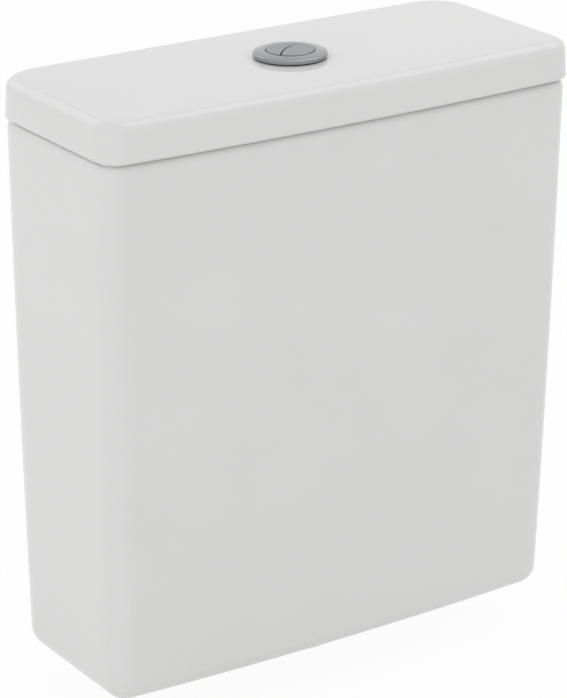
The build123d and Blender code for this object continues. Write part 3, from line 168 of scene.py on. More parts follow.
def tank_outline(z, inset, corners):
    """The tank's level outline at a height, drawn in by an inset."""
    drop = 1 - z / TANK_HEIGHT
    half_width = TANK_HALF_WIDTH - lean(drop, *SIDE_LEAN) - inset
    front = TANK_FRONT + lean(drop, *FRONT_LEAN) + inset
    return plan_ring(half_width, front, TANK_BACK - inset, FRONT_BOW, corners)


def foot_outline(growth):
    """The edge of the hollow inside the foot, grown outwards a little."""
    half_width = TANK_HALF_WIDTH - SIDE_LEAN[0] - FOOT_WIDTH + growth
    front = TANK_FRONT + FRONT_LEAN[0] + FOOT_WIDTH - growth
    corner = FOOT_CORNER + growth
    return plan_ring(half_width, front, TANK_BACK - FOOT_WIDTH + growth, FRONT_BOW, (corner, corner))


def drawn_in(corners, inset):
    """Corner radii of an outline that has been drawn in."""
    return tuple(max(radius - inset, LEAST_CORNER) for radius in corners)


def quarter(steps):
    """Angles of a quarter turn, both ends included."""
    return [math.pi / 2 * step / steps for step in range(steps + 1)]


tank_levels = [(FOOT_HEIGHT, foot_outline(0)), (FOOT_LIP, foot_outline(0)), (0.0, foot_outline(FOOT_LIP))]
for angle in quarter(BASE_STEPS):
    inset = BASE_EDGE * (1 - math.sin(angle))
    height = BASE_EDGE * (1 - math.cos(angle))
    tank_levels.append((height, tank_outline(height, inset, drawn_in(TANK_CORNERS, inset))))
for step in range(1, WALL_STEPS + 1):
    height = BASE_EDGE + (TANK_HEIGHT - RIM_EDGE - BASE_EDGE) * step / WALL_STEPS
    tank_levels.append((height, tank_outline(height, 0, TANK_CORNERS)))
for angle in quarter(RIM_STEPS)[1:]:
    inset = RIM_EDGE * (1 - math.cos(angle))
    height = TANK_HEIGHT - RIM_EDGE * (1 - math.sin(angle))
    tank_levels.append((height, tank_outline(height, inset, drawn_in(TANK_CORNERS, inset))))
for angle in quarter(RIM_STEPS):
    inset = TANK_WALL - INNER_RIM_EDGE * (1 - math.sin(angle))
    height = TANK_HEIGHT - INNER_RIM_EDGE * (1 - math.cos(angle))
    corners = tuple(radius + TANK_WALL - inset for radius in CAVITY_CORNERS)
    tank_levels.append((height, tank_outline(height, inset, corners)))
cavity_top = TANK_HEIGHT - INNER_RIM_EDGE
for step in range(1, WALL_STEPS + 1):
    height = cavity_top - (cavity_top - TANK_FLOOR - CAVITY_EDGE) * step / WALL_STEPS
    tank_levels.append((height, tank_outline(height, TANK_WALL, CAVITY_CORNERS)))
for angle in quarter(CAVITY_STEPS)[1:]:
    inset = CAVITY_EDGE * (1 - math.cos(angle))
    height = TANK_FLOOR + CAVITY_EDGE * (1 - math.sin(angle))
    tank_levels.append((height, tank_outline(height, TANK_WALL + inset, drawn_in(CAVITY_CORNERS, inset))))
tank_shell = ring_stack("tank_shell", tank_levels)

OUTLET_HOLE, BOLT_HOLE, INLET_HOLE, WALL_HOLE = 0.0325, 0.006, 0.012, 0.004
BOLT_X, INLET_X, WALL_HOLE_X, WALL_HOLE_Z = 0.075, -0.118, 0.110, 0.3344
FLOOR_CUT, WALL_CUT = (0.005, 0.025), (TANK_BACK - 0.015, TANK_BACK + 0.005)
tank_holes = []
for hole, x, radius, steps in (
    ("outlet_hole", 0, OUTLET_HOLE, 96), ("bolt_hole_a", -BOLT_X, BOLT_HOLE, 48),
    ("bolt_hole_b", BOLT_X, BOLT_HOLE, 48), ("inlet_hole", INLET_X, INLET_HOLE, 48),
):
    tank_holes.append(cylinder(hole, radius, (x, 0, FLOOR_CUT[0]), (x, 0, FLOOR_CUT[1]), steps))
for hole, x in (("wall_hole_a", -WALL_HOLE_X), ("wall_hole_b", WALL_HOLE_X)):
    ends = [(x, y, WALL_HOLE_Z) for y in WALL_CUT]
    tank_holes.append(cylinder(hole, WALL_HOLE, *ends, 48))
tank_shell = joined(tank_shell, tank_holes, "DIFFERENCE")

GLAZE_TONES = ((0.758, 0.758, 0.752), (0.784, 0.784, 0.779))
CLAY_TONES = ((0.62, 0.585, 0.52), (0.70, 0.67, 0.61))
GLAZE_ROUGHNESS, CLAY_ROUGHNESS, TANK_BARE_BELOW = (0.06, 0.12), 0.85, 0.0003
GLAZE_RUN_OUT, GLAZE_INDEX = 0.0006, 1.52


def node_tree(name):
    """A new material with a shader, and its node tree."""
    material = bpy.data.materials.new(name)
    material.use_nodes = True
    return material, material.node_tree


def feed(tree, socket, value):
    """An input given a plain value, a colour, or another node's output."""
    if isinstance(value, bpy.types.NodeSocket):
        tree.links.new(value, socket)
    elif socket.type == "RGBA":
        socket.default_value = (*value, 1)
    else:
        socket.default_value = value


def added(tree, kind, inputs=None, **settings):
    """A node added to a tree, with some of its properties set and some of its inputs fed."""
    node = tree.nodes.new(kind)
    for key, value in settings.items():
        setattr(node, key, value)
    for key, value in (inputs or {}).items():
        feed(tree, node.inputs[key], value)
    return node


def pattern(tree, kind, scale, **inputs):
    """A texture read from object coordinates at a scale given in waves or cells a metre."""
    place = tree.nodes.get("Texture Coordinate") or added(tree, "ShaderNodeTexCoord")
    return added(tree, kind, {"Vector": place.outputs["Object"], "Scale": scale, **inputs})


def spread(tree, source, low, high, start=0.0, end=1.0):
    """A number that runs from low to high as its source runs from start to end."""
    return added(tree, "ShaderNodeMapRange", {
        "Value": source, "From Min": start, "From Max": end, "To Min": low, "To Max": high,
    }).outputs["Result"]


def shaded(tree, source, first, second):
    """A colour that runs from the first to the second as its source runs from 0 to 1."""
    mix = added(tree, "ShaderNodeMix", {"Factor": source}, data_type="RGBA")
    ends = [socket for socket in mix.inputs if socket.type == "RGBA"]
    feed(tree, ends[0], first)
    feed(tree, ends[1], second)
    return next(socket for socket in mix.outputs if socket.type == "RGBA")


def relief(tree, heights):
    """Bumps laid one on another, each given as (source, strength, distance in metres)."""
    normal = None
    for source, strength, distance in heights:
        bump = added(tree, "ShaderNodeBump", {"Strength": strength, "Distance": distance, "Height": source})
        if normal is not None:
            feed(tree, bump.inputs["Normal"], normal)
        normal = bump.outputs["Normal"]
    feed(tree, tree.nodes["Principled BSDF"].inputs["Normal"], normal)


def glazed_china(name, bare_below):
    """White glaze with faint waves and a fine grain, over clay that is bare below a height."""
    material, tree = node_tree(name)
    shader = tree.nodes["Principled BSDF"]
    waves = pattern(tree, "ShaderNodeTexNoise", 14, Detail=2.0).outputs["Fac"]
    grain = pattern(tree, "ShaderNodeTexNoise", 420, Detail=1.0).outputs["Fac"]
    place = tree.nodes["Texture Coordinate"].outputs["Object"]
    height = added(tree, "ShaderNodeSeparateXYZ", {"Vector": place}).outputs["Z"]
    glazed = spread(tree, height, 0.0, 1.0, bare_below, bare_below + GLAZE_RUN_OUT)
    tone = shaded(tree, waves, *GLAZE_TONES)
    clay = shaded(tree, grain, *CLAY_TONES)
    feed(tree, shader.inputs["Base Color"], shaded(tree, glazed, clay, tone))
    smooth = spread(tree, grain, *GLAZE_ROUGHNESS)
    feed(tree, shader.inputs["Roughness"], spread(tree, glazed, CLAY_ROUGHNESS, smooth))
    shader.inputs["IOR"].default_value = GLAZE_INDEX
    relief(tree, [(waves, 0.20, 0.0004), (grain, 0.03, 0.00006)])
    return material


def coated(piece, material):
    """A piece given one finish all over."""
    piece.data.materials.clear()
    piece.data.materials.append(material)


coated(tank_shell, glazed_china("tank_glaze", TANK_BARE_BELOW))
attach(tank_shell, "tank")
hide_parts("tank")

# Lid. A cast and glazed cover that overhangs the tank a little, with a barely crowned top.
# Underneath it is hollow, with a seat that rests on the rim and two lugs that keep it from sliding.
LID_BOTTOM, LID_TOP = 0.3764, 0.4024
LID_HALF_WIDTH, LID_OVERHANG = 0.1825, 0.0026
LID_FRONT = TANK_FRONT - LID_OVERHANG
LID_CORNERS, LID_HOLLOW_REACH = (0.019, 0.031), 0.030
LID_DRAFT, LID_EDGE, LID_LIP, LID_HOLLOW_EDGE = 0.0013, 0.0075, 0.0012, 0.004
LID_BAND, LID_PLATE = 0.015, 0.011
LID_CROWN, CROWN_RUN, CROWN_CORNERS, CROWN_BACK_SHARE = 0.0003, 0.062, (0.0104, 0.002), 1.6
HOLLOW_STEPS, LIP_STEPS, LID_SIDE_STEPS, LID_EDGE_STEPS, CROWN_STEPS = 6, 4, 5, 14, 8
SEAT_WIDTH, SEAT_BOTTOM, SEAT_TOP = 0.004, 0.3747, 0.3780
LID_CUT = (0.385, 0.410)
LUG_X, LUG_BOTTOM, LUG_TOP, LUG_EDGE, LUG_STEPS = 0.16655, 0.3644, 0.3930, 0.0025, 6
LUG_FLAT_X, LUG_FLAT_Y, LUG_CENTRE = 0.0015, 0.0125, (TANK_BACK + TANK_FRONT) / 2
BUTTON_HOLE = 0.0190


def lid_outline(inset, corners):
    """The lid's level outline, drawn in by an inset."""
    return plan_ring(LID_HALF_WIDTH - inset, LID_FRONT + inset, TANK_BACK - inset, FRONT_BOW, corners)


def hollow_outline(inset):
    """The outline of the hollow under the lid, whose four corners are alike."""
    return lid_outline(inset, (LID_HOLLOW_REACH - inset, LID_HOLLOW_REACH - inset))


lid_levels = []
for angle in quarter(HOLLOW_STEPS):
    inset = LID_BAND + LID_HOLLOW_EDGE * (1 - math.sin(angle))
    height = LID_TOP - LID_PLATE - LID_HOLLOW_EDGE * (1 - math.cos(angle))
    lid_levels.append((height, hollow_outline(inset)))
lid_levels.append((LID_BOTTOM + LID_LIP, hollow_outline(LID_BAND)))
lid_levels.append((LID_BOTTOM, hollow_outline(LID_BAND - LID_LIP)))
for angle in quarter(LIP_STEPS):
    inset = LID_LIP * (1 - math.sin(angle))
    height = LID_BOTTOM + LID_LIP * (1 - math.cos(angle))
    lid_levels.append((height, lid_outline(inset, drawn_in(LID_CORNERS, inset))))
side_height = LID_TOP - LID_EDGE - LID_BOTTOM
for step in range(1, LID_SIDE_STEPS + 1):
    height = LID_BOTTOM + LID_LIP + (side_height - LID_LIP) * step / LID_SIDE_STEPS
    inset = LID_DRAFT * (height - LID_BOTTOM) / (LID_TOP - LID_BOTTOM)
    lid_levels.append((height, lid_outline(inset, drawn_in(LID_CORNERS, inset))))
shoulder = LID_DRAFT * side_height / (LID_TOP - LID_BOTTOM)
for angle in quarter(LID_EDGE_STEPS)[1:]:
    inset = shoulder + LID_EDGE * (1 - math.cos(angle))
    height = LID_TOP - LID_CROWN - LID_EDGE * (1 - math.sin(angle)) * (LID_EDGE - LID_CROWN) / LID_EDGE
    lid_levels.append((height, lid_outline(inset, drawn_in(LID_CORNERS, inset))))
for step in range(1, CROWN_STEPS + 1):
    share = step / CROWN_STEPS
    inset = shoulder + LID_EDGE + CROWN_RUN * share
    height = LID_TOP - LID_CROWN * (1 - share) ** 2
    corner = CROWN_CORNERS[0] * (1 - share) + CROWN_CORNERS[1]
    lid_levels.append((height, lid_outline(inset, (corner, corner * CROWN_BACK_SHARE))))
lid_shell = ring_stack("lid_shell", lid_levels)


def lug(name, x):
    """One of the lid's locating lugs, a rounded block."""
    outline = []
    for corner, (side_x, side_y) in enumerate(((1, -1), (1, 1), (-1, 1), (-1, -1))):
        for step in range(LUG_STEPS + 1):
            angle = math.pi / 2 * (corner - 1 + step / LUG_STEPS)
            point_x = x + side_x * LUG_FLAT_X + LUG_EDGE * math.cos(angle)
            outline.append((point_x, LUG_CENTRE + side_y * LUG_FLAT_Y + LUG_EDGE * math.sin(angle)))
    return ring_stack(name, [(LUG_BOTTOM, outline), (LUG_TOP, outline)])


seat_inset = LID_HALF_WIDTH - TANK_HALF_WIDTH + (TANK_WALL - SEAT_WIDTH) / 2
seat_outer = lid_outline(seat_inset, drawn_in(TANK_CORNERS, seat_inset))
seat_inner = lid_outline(seat_inset + SEAT_WIDTH, drawn_in(drawn_in(TANK_CORNERS, seat_inset), SEAT_WIDTH))
seat_shape = bmesh.new()
seat_rings = []
for height, outline in (
    (SEAT_TOP, seat_inner), (SEAT_BOTTOM, seat_inner), (SEAT_BOTTOM, seat_outer), (SEAT_TOP, seat_outer),
):
    seat_rings.append([seat_shape.verts.new((x, y, height)) for x, y in outline])
for first, second in zip(seat_rings, seat_rings[1:] + seat_rings[:1]):
    skinned(seat_shape, first, second)
seat_ring = finished("seat_ring", seat_shape)
lid_shell = joined(lid_shell, [seat_ring, lug("lug_a", -LUG_X), lug("lug_b", LUG_X)], "UNION")
button_hole = cylinder("button_hole", BUTTON_HOLE, (0, 0, LID_CUT[0]), (0, 0, LID_CUT[1]))
lid_shell = joined(lid_shell, [button_hole], "DIFFERENCE")
coated(lid_shell, glazed_china("lid_glaze", 0.0))
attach(lid_shell, "lid")
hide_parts("lid")

# Push button ring. It is turned from brass, satin chromed on top, with a long threaded sleeve below.
# The lid is clamped between this ring and the lock nut on the sleeve.
def lathe(name, profile, centre=(0, 0), steps=128):
    """A solid of revolution from (radius, height) points, in a loop or from axis to axis."""
    shape = bmesh.new()
    capped = profile[0][0] == 0
    ends = [shape.verts.new((*centre, z)) for _, z in (profile[0], profile[-1])] if capped else []
    rings = []
    for radius, z in profile[1:-1] if capped else profile:
        ring = []
        for step in range(steps):
            angle = 2 * math.pi * step / steps
            x, y = centre[0] + radius * math.cos(angle), centre[1] + radius * math.sin(angle)
            ring.append(shape.verts.new((x, y, z)))
        rings.append(ring)
    for low, high in zip(rings, rings[1:] if capped else rings[1:] + rings[:1]):
        skinned(shape, low, high)
    for i in range(steps if capped else 0):
        j = (i + 1) % steps
        shape.faces.new((ends[0], rings[0][j], rings[0][i]))
        shape.faces.new((ends[1], rings[-1][i], rings[-1][j]))
    return finished(name, shape)


def darkened(colour, share):
    """A colour brought down to a share of its strength."""
    return tuple(channel * share for channel in colour)


def satin_metal(name, colour, roughness, rings_per_metre, depth):
    """Metal with fine turning lines round the button's axis and faint smears."""
    material, tree = node_tree(name)
    shader = tree.nodes["Principled BSDF"]
    shader.inputs["Metallic"].default_value = 1.0
    smears = pattern(tree, "ShaderNodeTexNoise", 60, Detail=3.0).outputs["Fac"]
    lines = pattern(tree, "ShaderNodeTexWave", rings_per_metre, Distortion=0.15, Detail=1.0)
    lines.wave_type = "RINGS"
    lines.rings_direction = "Z"
    feed(tree, shader.inputs["Base Color"], shaded(tree, smears, darkened(colour, 0.93), colour))
    feed(tree, shader.inputs["Roughness"], spread(tree, smears, roughness * 0.85, roughness * 1.2))
    relief(tree, [(lines.outputs["Fac"], 0.35, depth)])
    return material


def growing_tree(name, labels, outcome):
    """A Geometry Nodes tree that takes named sizes and a finish, and the sockets that give them."""
    tree = bpy.data.node_groups.new(name, "GeometryNodeTree")
    for label in labels:
        tree.interface.new_socket(name=label, in_out="INPUT", socket_type="NodeSocketFloat")
    tree.interface.new_socket(name="Finish", in_out="INPUT", socket_type="NodeSocketMaterial")
    tree.interface.new_socket(name=outcome, in_out="OUTPUT", socket_type="NodeSocketGeometry")
    return tree, added(tree, "NodeGroupInput").outputs


def swept_out(tree, sizes, path, points, radius, outcome):
    """The end of a tree: a section swept along a path, raised to its base and given its finish."""
    section = added(tree, "GeometryNodeCurvePrimitiveCircle", {"Resolution": points, "Radius": radius})
    swept = added(tree, "GeometryNodeCurveToMesh", {
        "Curve": path, "Profile Curve": section.outputs[0], "Fill Caps": True,
    })
    lift = added(tree, "ShaderNodeCombineXYZ", {"Z": sizes["Base"]})
    raised = added(tree, "GeometryNodeTransform", {
        "Geometry": swept.outputs[0], "Translation": lift.outputs[0],
    })
    real = added(tree, "GeometryNodeRealizeInstances", {0: raised.outputs[0]})
    coloured = added(tree, "GeometryNodeSetMaterial", {
        "Geometry": real.outputs[0], "Material": sizes["Finish"],
    })
    added(tree, "NodeGroupOutput", {outcome: coloured.outputs[0]})


def thread_tree():
    """Geometry Nodes for a screw thread: a pointed ridge wound round an upright axis."""
    labels = ("Crest Radius", "Depth", "Pitch", "Length", "Base")
    tree, sizes = growing_tree("thread_tree", labels, "Thread")
    turns = added(tree, "ShaderNodeMath", {0: sizes["Length"], 1: sizes["Pitch"]}, operation="DIVIDE")
    middle = added(tree, "ShaderNodeMath", {0: sizes["Crest Radius"], 1: sizes["Depth"]}, operation="SUBTRACT")
    winding = added(tree, "GeometryNodeCurveSpiral", {
        "Resolution": 48, "Rotations": turns.outputs[0], "Height": sizes["Length"],
        "Start Radius": middle.outputs[0], "End Radius": middle.outputs[0],
    })
    upright = added(tree, "GeometryNodeSetCurveNormal", {"Curve": winding.outputs[0]}, mode="Z_UP")
    swept_out(tree, sizes, upright.outputs[0], 4, sizes["Depth"], "Thread")
    return tree


def grown(name, tree, values, centre=(0, 0), sharp_angle=SHARP_ANGLE):
    """A plain mesh made by a Geometry Nodes tree, moved to its upright axis."""
    holder = bpy.data.objects.new(name, bpy.data.meshes.new(name))
    bpy.context.collection.objects.link(holder)
    change = holder.modifiers.new("growth", "NODES")
    change.node_group = tree
    for socket in tree.interface.items_tree:
        if socket.in_out == "INPUT":
            change[socket.identifier] = values[socket.name]
    piece = settled(holder, sharp_angle)
    piece.data.transform(Matrix.Translation((*centre, 0)))
    return piece


THREAD_TREE, THREAD_SHARP_ANGLE = thread_tree(), 20


def threaded(name, crest, depth, pitch, low, high, material, centre=(0, 0)):
    """A screw thread of a material between two heights."""
    return grown(name, THREAD_TREE, {
        "Crest Radius": crest, "Depth": depth, "Pitch": pitch, "Length": high - low, "Base": low,
        "Finish": material,
    }, centre, THREAD_SHARP_ANGLE)


SLEEVE_BORE, SLEEVE_ROOT, SLEEVE_CREST = 0.0151, 0.0173, 0.0179
RING_RADIUS, RING_UNDERSIDE, WELL_RADIUS, WELL_FLOOR = 0.0246, 0.4032, 0.0165, 0.3706
bezel = lathe("bezel", [
    (SLEEVE_BORE, 0.3694), (0.0171, 0.3694), (SLEEVE_ROOT, 0.3697), (SLEEVE_ROOT, 0.3990),
    (SLEEVE_CREST, 0.3996), (SLEEVE_CREST, RING_UNDERSIDE), (0.0243, RING_UNDERSIDE),
    (RING_RADIUS, 0.4035), (RING_RADIUS, 0.4056), (0.02453, 0.40585), (0.0243, 0.40605),
    (0.0239, 0.40620), (0.0203, 0.40682), (0.0170, 0.40725), (0.01675, 0.40720), (0.01656, 0.40705),
    (WELL_RADIUS, 0.40680), (WELL_RADIUS, WELL_FLOOR), (SLEEVE_BORE, WELL_FLOOR),
])
satin = satin_metal("satin_chrome", (0.31, 0.32, 0.335), 0.16, 900, 0.00002)
coated(bezel, satin)
sleeve_thread = threaded("sleeve_thread", SLEEVE_CREST, 0.0006, 0.0015, 0.3702, 0.3985, satin)
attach(sleeve_thread, "lid")
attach(bezel, "lid")
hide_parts("button_bezel")

# Push buttons. Two satin chromed caps share the ring's well and part along a bowed line.
# They keep the solid's shape and take a slightly darker, cooler metal than the ring.
button_metal = satin_metal("button_metal", (0.225, 0.235, 0.26), 0.20, 700, 0.000015)


def dressed(names, material):
    """Solids whose shape is right take their finish."""
    for name in names:
        coated(nodes[name], material)


dressed(["full_flush_button", "half_flush_button"], button_metal)


# Moulded pieces. The valves' bodies, levers, floats and nuts are injection moulded plastic, plain or
# dyed, and the seals are moulded rubber. Each has the faint grain of its mould and an uneven tone.
def moulded(name, colour, roughness, grain):
    """Injection moulded plastic or rubber with a fine mould grain."""
    material, tree = node_tree(name)
    shader = tree.nodes["Principled BSDF"]
    clouds = pattern(tree, "ShaderNodeTexNoise", 35, Detail=2.0).outputs["Fac"]
    fine = pattern(tree, "ShaderNodeTexNoise", grain, Detail=2.0).outputs["Fac"]
    feed(tree, shader.inputs["Base Color"], shaded(tree, clouds, darkened(colour, 0.94), colour))
    feed(tree, shader.inputs["Roughness"], spread(tree, fine, roughness - 0.06, roughness + 0.06))
    relief(tree, [(fine, 0.15, 0.00008)])
    return material


white_plastic = moulded("white_plastic", (0.74, 0.75, 0.74), 0.32, 900)
grey_plastic = moulded("grey_plastic", (0.32, 0.34, 0.37), 0.42, 1100)
blue_plastic = moulded("blue_plastic", (0.035, 0.12, 0.30), 0.38, 1100)
black_rubber = moulded("black_rubber", (0.018, 0.018, 0.019), 0.72, 700)
grey_rubber = moulded("grey_rubber", (0.075, 0.080, 0.088), 0.65, 700)
dressed([
    "bezel_lock_nut", "button_housing", "half_push_rod", "half_flush_lever", "valve_base",
    "valve_back_nut", "valve_tower", "overflow_tube", "half_flush_rod", "fill_riser",
    "fill_outlet_tube", "float_lever",
], white_plastic)
dressed([
    "full_flush_float", "half_flush_float", "valve_head", "fill_valve_head", "fill_float",
], grey_plastic)
dressed([
    "full_push_rod", "full_flush_lever", "seal_retainer", "inlet_filter", "fill_valve_cap",
], blue_plastic)
dressed([
    "bezel_washer", "nut_gasket", "valve_base_seal", "coupling_gasket", "fill_valve_seal", "bolt_seals",
], black_rubber)
dressed(["valve_seal", "fill_diaphragm"], grey_rubber)


# Metal fittings. Inlet tail, bolts and nuts are turned or cast brass.
# Washers, pins, the float's link and the springs are steel.
def turned_metal(name, colour, roughness):
    """Turned or drawn metal with a fine uneven tone."""
    material, tree = node_tree(name)
    shader = tree.nodes["Principled BSDF"]
    shader.inputs["Metallic"].default_value = 1.0
    stains = pattern(tree, "ShaderNodeTexNoise", 120, Detail=3.0).outputs["Fac"]
    feed(tree, shader.inputs["Base Color"], shaded(tree, stains, darkened(colour, 0.86), colour))
    feed(tree, shader.inputs["Roughness"], spread(tree, stains, roughness - 0.07, roughness + 0.07))
    relief(tree, [(stains, 0.08, 0.00008)])
    return material


brass = turned_metal("brass", (0.72, 0.53, 0.25), 0.30)
steel = turned_metal("steel", (0.60, 0.61, 0.63), 0.28)
dressed(["fill_valve_shank", "fill_valve_back_nut", "coupling_bolts", "tank_nuts", "wing_nuts"], brass)
dressed([
    "full_button_spring", "half_button_spring", "lever_pin", "float_link", "float_lever_pin",
    "bolt_washers", "pan_washers",
], steel)

# Inlet tail of the fill valve. A turned brass tail with a pipe thread, a flange and the tube above it.
# The thread takes the back nut under the tank and the supply connector below that.
INLET = (INLET_X, 0)
PILOT_RADIUS, ROOT_RADIUS, FLANGE_RADIUS, TUBE_RADIUS = 0.0080, 0.0096, 0.0160, 0.0109
inlet_shank = lathe("inlet_shank", [
    (0.0062, -0.0250), (0.0066, -0.0250), (PILOT_RADIUS, -0.0236), (PILOT_RADIUS, -0.0212),
    (ROOT_RADIUS, -0.0196), (ROOT_RADIUS, 0.0215), (0.0099, 0.0218), (0.0099, 0.0225),
    (0.0157, 0.0225), (FLANGE_RADIUS, 0.0228), (FLANGE_RADIUS, 0.0255), (0.0155, 0.0260),
    (0.0113, 0.0260), (TUBE_RADIUS, 0.0264), (TUBE_RADIUS, 0.1496), (0.0105, 0.1500), (0.0065, 0.1500),
], INLET, 96)
coated(inlet_shank, brass)
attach(inlet_shank, "tank")
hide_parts("fill_valve_shank")
inlet_thread = threaded("inlet_thread", 0.01048, 0.00088, 0.001814, -0.0195, 0.0205, brass, INLET)
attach(inlet_thread, "tank")

# Coupling bolts. Two slotted brass bolts with domed heads, threaded down to a pointed end.
# Each passes through the tank's floor, is locked by a hexagon nut and draws up a wing nut below the pan.
HEAD_RADIUS, HEAD_EDGE, HEAD_RISE, HEAD_SHOULDER, HEAD_TOP = 0.0080, 0.0032, 0.0030, 0.0280, 0.0311
BOLT_ROOT, DOME_STEPS = 0.0035, 7
SLOT_HALF_LENGTH, SLOT_HALF_WIDTH, SLOT_FLOOR, SLOT_TOP = 0.009, 0.0009, 0.0288, 0.0330
bolt_profile = [
    (0.0, -0.0290), (0.0012, -0.0290), (BOLT_ROOT, -0.0264), (BOLT_ROOT, 0.0240), (0.0037, 0.0243),
    (0.0037, 0.0255), (0.0078, 0.0255), (HEAD_RADIUS, 0.0257), (HEAD_RADIUS, HEAD_SHOULDER),
]
for angle in quarter(DOME_STEPS)[1:]:
    height = HEAD_SHOULDER + HEAD_RISE * math.sin(angle)
    bolt_profile.append((HEAD_RADIUS - HEAD_EDGE * (1 - math.cos(angle)), height))
bolt_profile.append((0.0, HEAD_TOP))


def driver_slot(name, x):
    """The bar that cuts the screwdriver slot of a bolt's head."""
    left, right = x - SLOT_HALF_LENGTH, x + SLOT_HALF_LENGTH
    outline = [
        (left, -SLOT_HALF_WIDTH), (right, -SLOT_HALF_WIDTH), (right, SLOT_HALF_WIDTH), (left, SLOT_HALF_WIDTH),
    ]
    return ring_stack(name, [(SLOT_FLOOR, outline), (SLOT_TOP, outline)])


for side, x in {"left": -BOLT_X, "right": BOLT_X}.items():
    bolt = lathe("bolt_" + side, bolt_profile, (x, 0), 48)
    bolt = joined(bolt, [driver_slot("driver_slot", x)], "DIFFERENCE")
    coated(bolt, brass)
    bolt_thread = threaded("bolt_thread_" + side, 0.0040, 0.00055, 0.00125, -0.0262, 0.0235, brass, (x, 0))
    for piece in (bolt, bolt_thread):
        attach(piece, "tank")
    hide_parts("coupling_bolts")

# Button springs. Each button is pushed back up by a coil of steel wire round its guide.
def coil_tree():
    """Geometry Nodes for a coil of round wire on an upright axis."""
    labels = ("Coil Radius", "Wire Radius", "Turns", "Height", "Base")
    tree, sizes = growing_tree("coil_tree", labels, "Coil")
    winding = added(tree, "GeometryNodeCurveSpiral", {
        "Resolution": 40, "Rotations": sizes["Turns"], "Height": sizes["Height"],
        "Start Radius": sizes["Coil Radius"], "End Radius": sizes["Coil Radius"],
    })
    swept_out(tree, sizes, winding.outputs[0], 14, sizes["Wire Radius"], "Coil")
    return tree


COIL_TREE = coil_tree()
SPRING_BOTTOM, SPRING_HEIGHT, PRESS = 0.3739, 0.0315, 0.007
COIL_RADIUS, WIRE_RADIUS, COIL_TURNS = 0.0042, 0.00035, 6.0
for half, centre in {"full": (0.008284, -0.005844), "half": (-0.008284, 0.005844)}.items():
    spring = grown(half + "_spring", COIL_TREE, {
        "Coil Radius": COIL_RADIUS, "Wire Radius": WIRE_RADIUS, "Turns": COIL_TURNS,
        "Height": SPRING_HEIGHT - 2 * WIRE_RADIUS, "Base": SPRING_BOTTOM + WIRE_RADIUS, "Finish": steel,
    }, centre)
    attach(spring, "lid")
    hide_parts(half + "_button_spring")
    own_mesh(spring)

# Studio. A white floor in a level white world, with four soft boxes: overhead, behind, left and in front.
# The camera, mirrors and glass see floor and world as white, and the floor keeps the object's shadow.
FLOOR_REACH, FLOOR_HEIGHT, FLOOR_TONE, FLOOR_WHITE_SHARE = 6, -0.0295, (0.92, 0.92, 0.92), 0.95
WHITE, SEEN_STRENGTH, WORLD_STRENGTH = (1, 1, 1), 1.0, 0.612
OBJECT_CENTRE = Vector((0, 0, 0.2))


def seen_directly(tree):
    """1 for the rays of the camera, of mirrors and of glass, and 0 for those that light a surface."""
    rays = added(tree, "ShaderNodeLightPath").outputs
    mirrored = added(tree, "ShaderNodeMath", {
        0: rays["Is Glossy Ray"], 1: rays["Is Transmission Ray"],
    }, operation="MAXIMUM")
    return added(tree, "ShaderNodeMath", {
        0: rays["Is Camera Ray"], 1: mirrored.outputs[0],
    }, operation="MAXIMUM").outputs[0]


floor_mesh = bpy.data.meshes.new("studio_floor")
floor_mesh.from_pydata([
    (side_x * FLOOR_REACH, side_y * FLOOR_REACH, FLOOR_HEIGHT)
    for side_x, side_y in ((-1, -1), (1, -1), (1, 1), (-1, 1))
], [], [(0, 1, 2, 3)])
studio_floor = bpy.data.objects.new("studio_floor", floor_mesh)
bpy.context.collection.objects.link(studio_floor)
floor_material, floor_tree = node_tree("floor_white")
floor_shader = floor_tree.nodes["Principled BSDF"]
feed(floor_tree, floor_shader.inputs["Base Color"], FLOOR_TONE)
floor_shader.inputs["Roughness"].default_value = 0.9
floor_shader.inputs["Specular IOR Level"].default_value = 0.0
floor_glow = added(floor_tree, "ShaderNodeEmission", {"Color": WHITE, "Strength": SEEN_STRENGTH})
floor_share = added(floor_tree, "ShaderNodeMath", {
    0: seen_directly(floor_tree), 1: FLOOR_WHITE_SHARE,
}, operation="MULTIPLY")
floor_mix = added(floor_tree, "ShaderNodeMixShader", {
    0: floor_share.outputs[0], 1: floor_shader.outputs[0], 2: floor_glow.outputs[0],
})
feed(floor_tree, floor_tree.nodes["Material Output"].inputs["Surface"], floor_mix.outputs[0])
floor_mesh.materials.append(floor_material)

world = bpy.data.worlds.new("studio_world")
bpy.context.scene.world = world
world.use_nodes = True
world_tree = world.node_tree
world_tree.nodes.clear()
world_light = added(world_tree, "ShaderNodeBackground", {"Color": WHITE, "Strength": WORLD_STRENGTH})
world_seen = added(world_tree, "ShaderNodeBackground", {"Color": WHITE, "Strength": SEEN_STRENGTH})
world_mix = added(world_tree, "ShaderNodeMixShader", {
    0: seen_directly(world_tree), 1: world_light.outputs[0], 2: world_seen.outputs[0],
})
added(world_tree, "ShaderNodeOutputWorld", {"Surface": world_mix.outputs[0]})


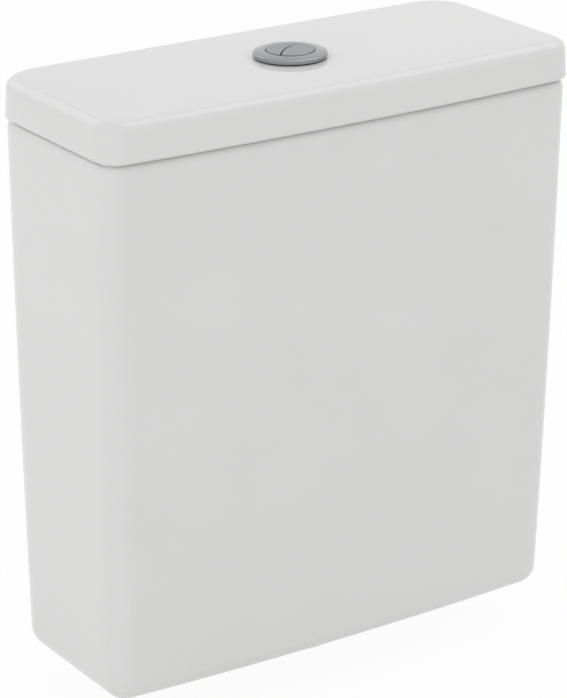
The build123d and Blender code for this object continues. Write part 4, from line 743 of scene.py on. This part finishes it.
def soft_box(name, place, width, height, power, mirrored):
    """A rectangular soft light aimed at the object, which shows in gloss only where mirrored is true."""
    data = bpy.data.lights.new(name, "AREA")
    data.shape = "RECTANGLE"
    data.size, data.size_y = width, height
    data.energy = power
    lamp = bpy.data.objects.new(name, data)
    lamp.location = place
    lamp.rotation_euler = (OBJECT_CENTRE - Vector(place)).to_track_quat("-Z", "Y").to_euler()
    bpy.context.collection.objects.link(lamp)
    lamp.visible_glossy = mirrored


soft_box("over_light", (1.06, -0.04, 2.1), 1.7, 1.7, 9.4, True)
soft_box("back_light", (-0.6, 1.8, 1.5), 1.7, 1.3, 4.4, True)
soft_box("left_light", (-2.6, -0.6, 1.1), 2.4, 2.2, 16.0, False)
soft_box("front_light", (0.9, -2.8, 0.7), 2.6, 2.0, 11.6, False)

# Camera. It stands at the photograph's distance and angle, above the object and left of its front.
# Its lens and its small shift give the photograph's frame.
CAMERA_TURN, CAMERA_RISE, CAMERA_ROLL = -33.474, 20.754, -0.241
CAMERA_TARGET, CAMERA_DISTANCE = Vector((0, 0.0040, 0.19647)), 2.1047
FOCAL_PIXELS, CENTRE_PIXEL, FRAME_WIDTH, FRAME_HEIGHT = 3100.0, 288.11, 567, 698
SENSOR_WIDTH, NEAREST, FARTHEST = 36, 0.05, 60
turn, rise = math.radians(CAMERA_TURN), math.radians(CAMERA_RISE)
back_off = Vector((math.sin(turn) * math.cos(rise), -math.cos(turn) * math.cos(rise), math.sin(rise)))
camera_data = bpy.data.cameras.new("camera")
camera_data.sensor_width = SENSOR_WIDTH
camera_data.lens = FOCAL_PIXELS / FRAME_HEIGHT * SENSOR_WIDTH
camera_data.shift_x = -(CENTRE_PIXEL - FRAME_WIDTH / 2) / FRAME_HEIGHT
camera_data.clip_start, camera_data.clip_end = NEAREST, FARTHEST
camera = bpy.data.objects.new("camera", camera_data)
bpy.context.collection.objects.link(camera)
camera.location = CAMERA_TARGET + back_off * CAMERA_DISTANCE
camera.rotation_mode = "QUATERNION"
facing = (-back_off).to_track_quat("-Z", "Y")
camera.rotation_quaternion = facing @ Matrix.Rotation(math.radians(CAMERA_ROLL), 4, "Z").to_quaternion()
bpy.context.scene.camera = camera
bpy.context.scene.view_settings.view_transform = "Standard"
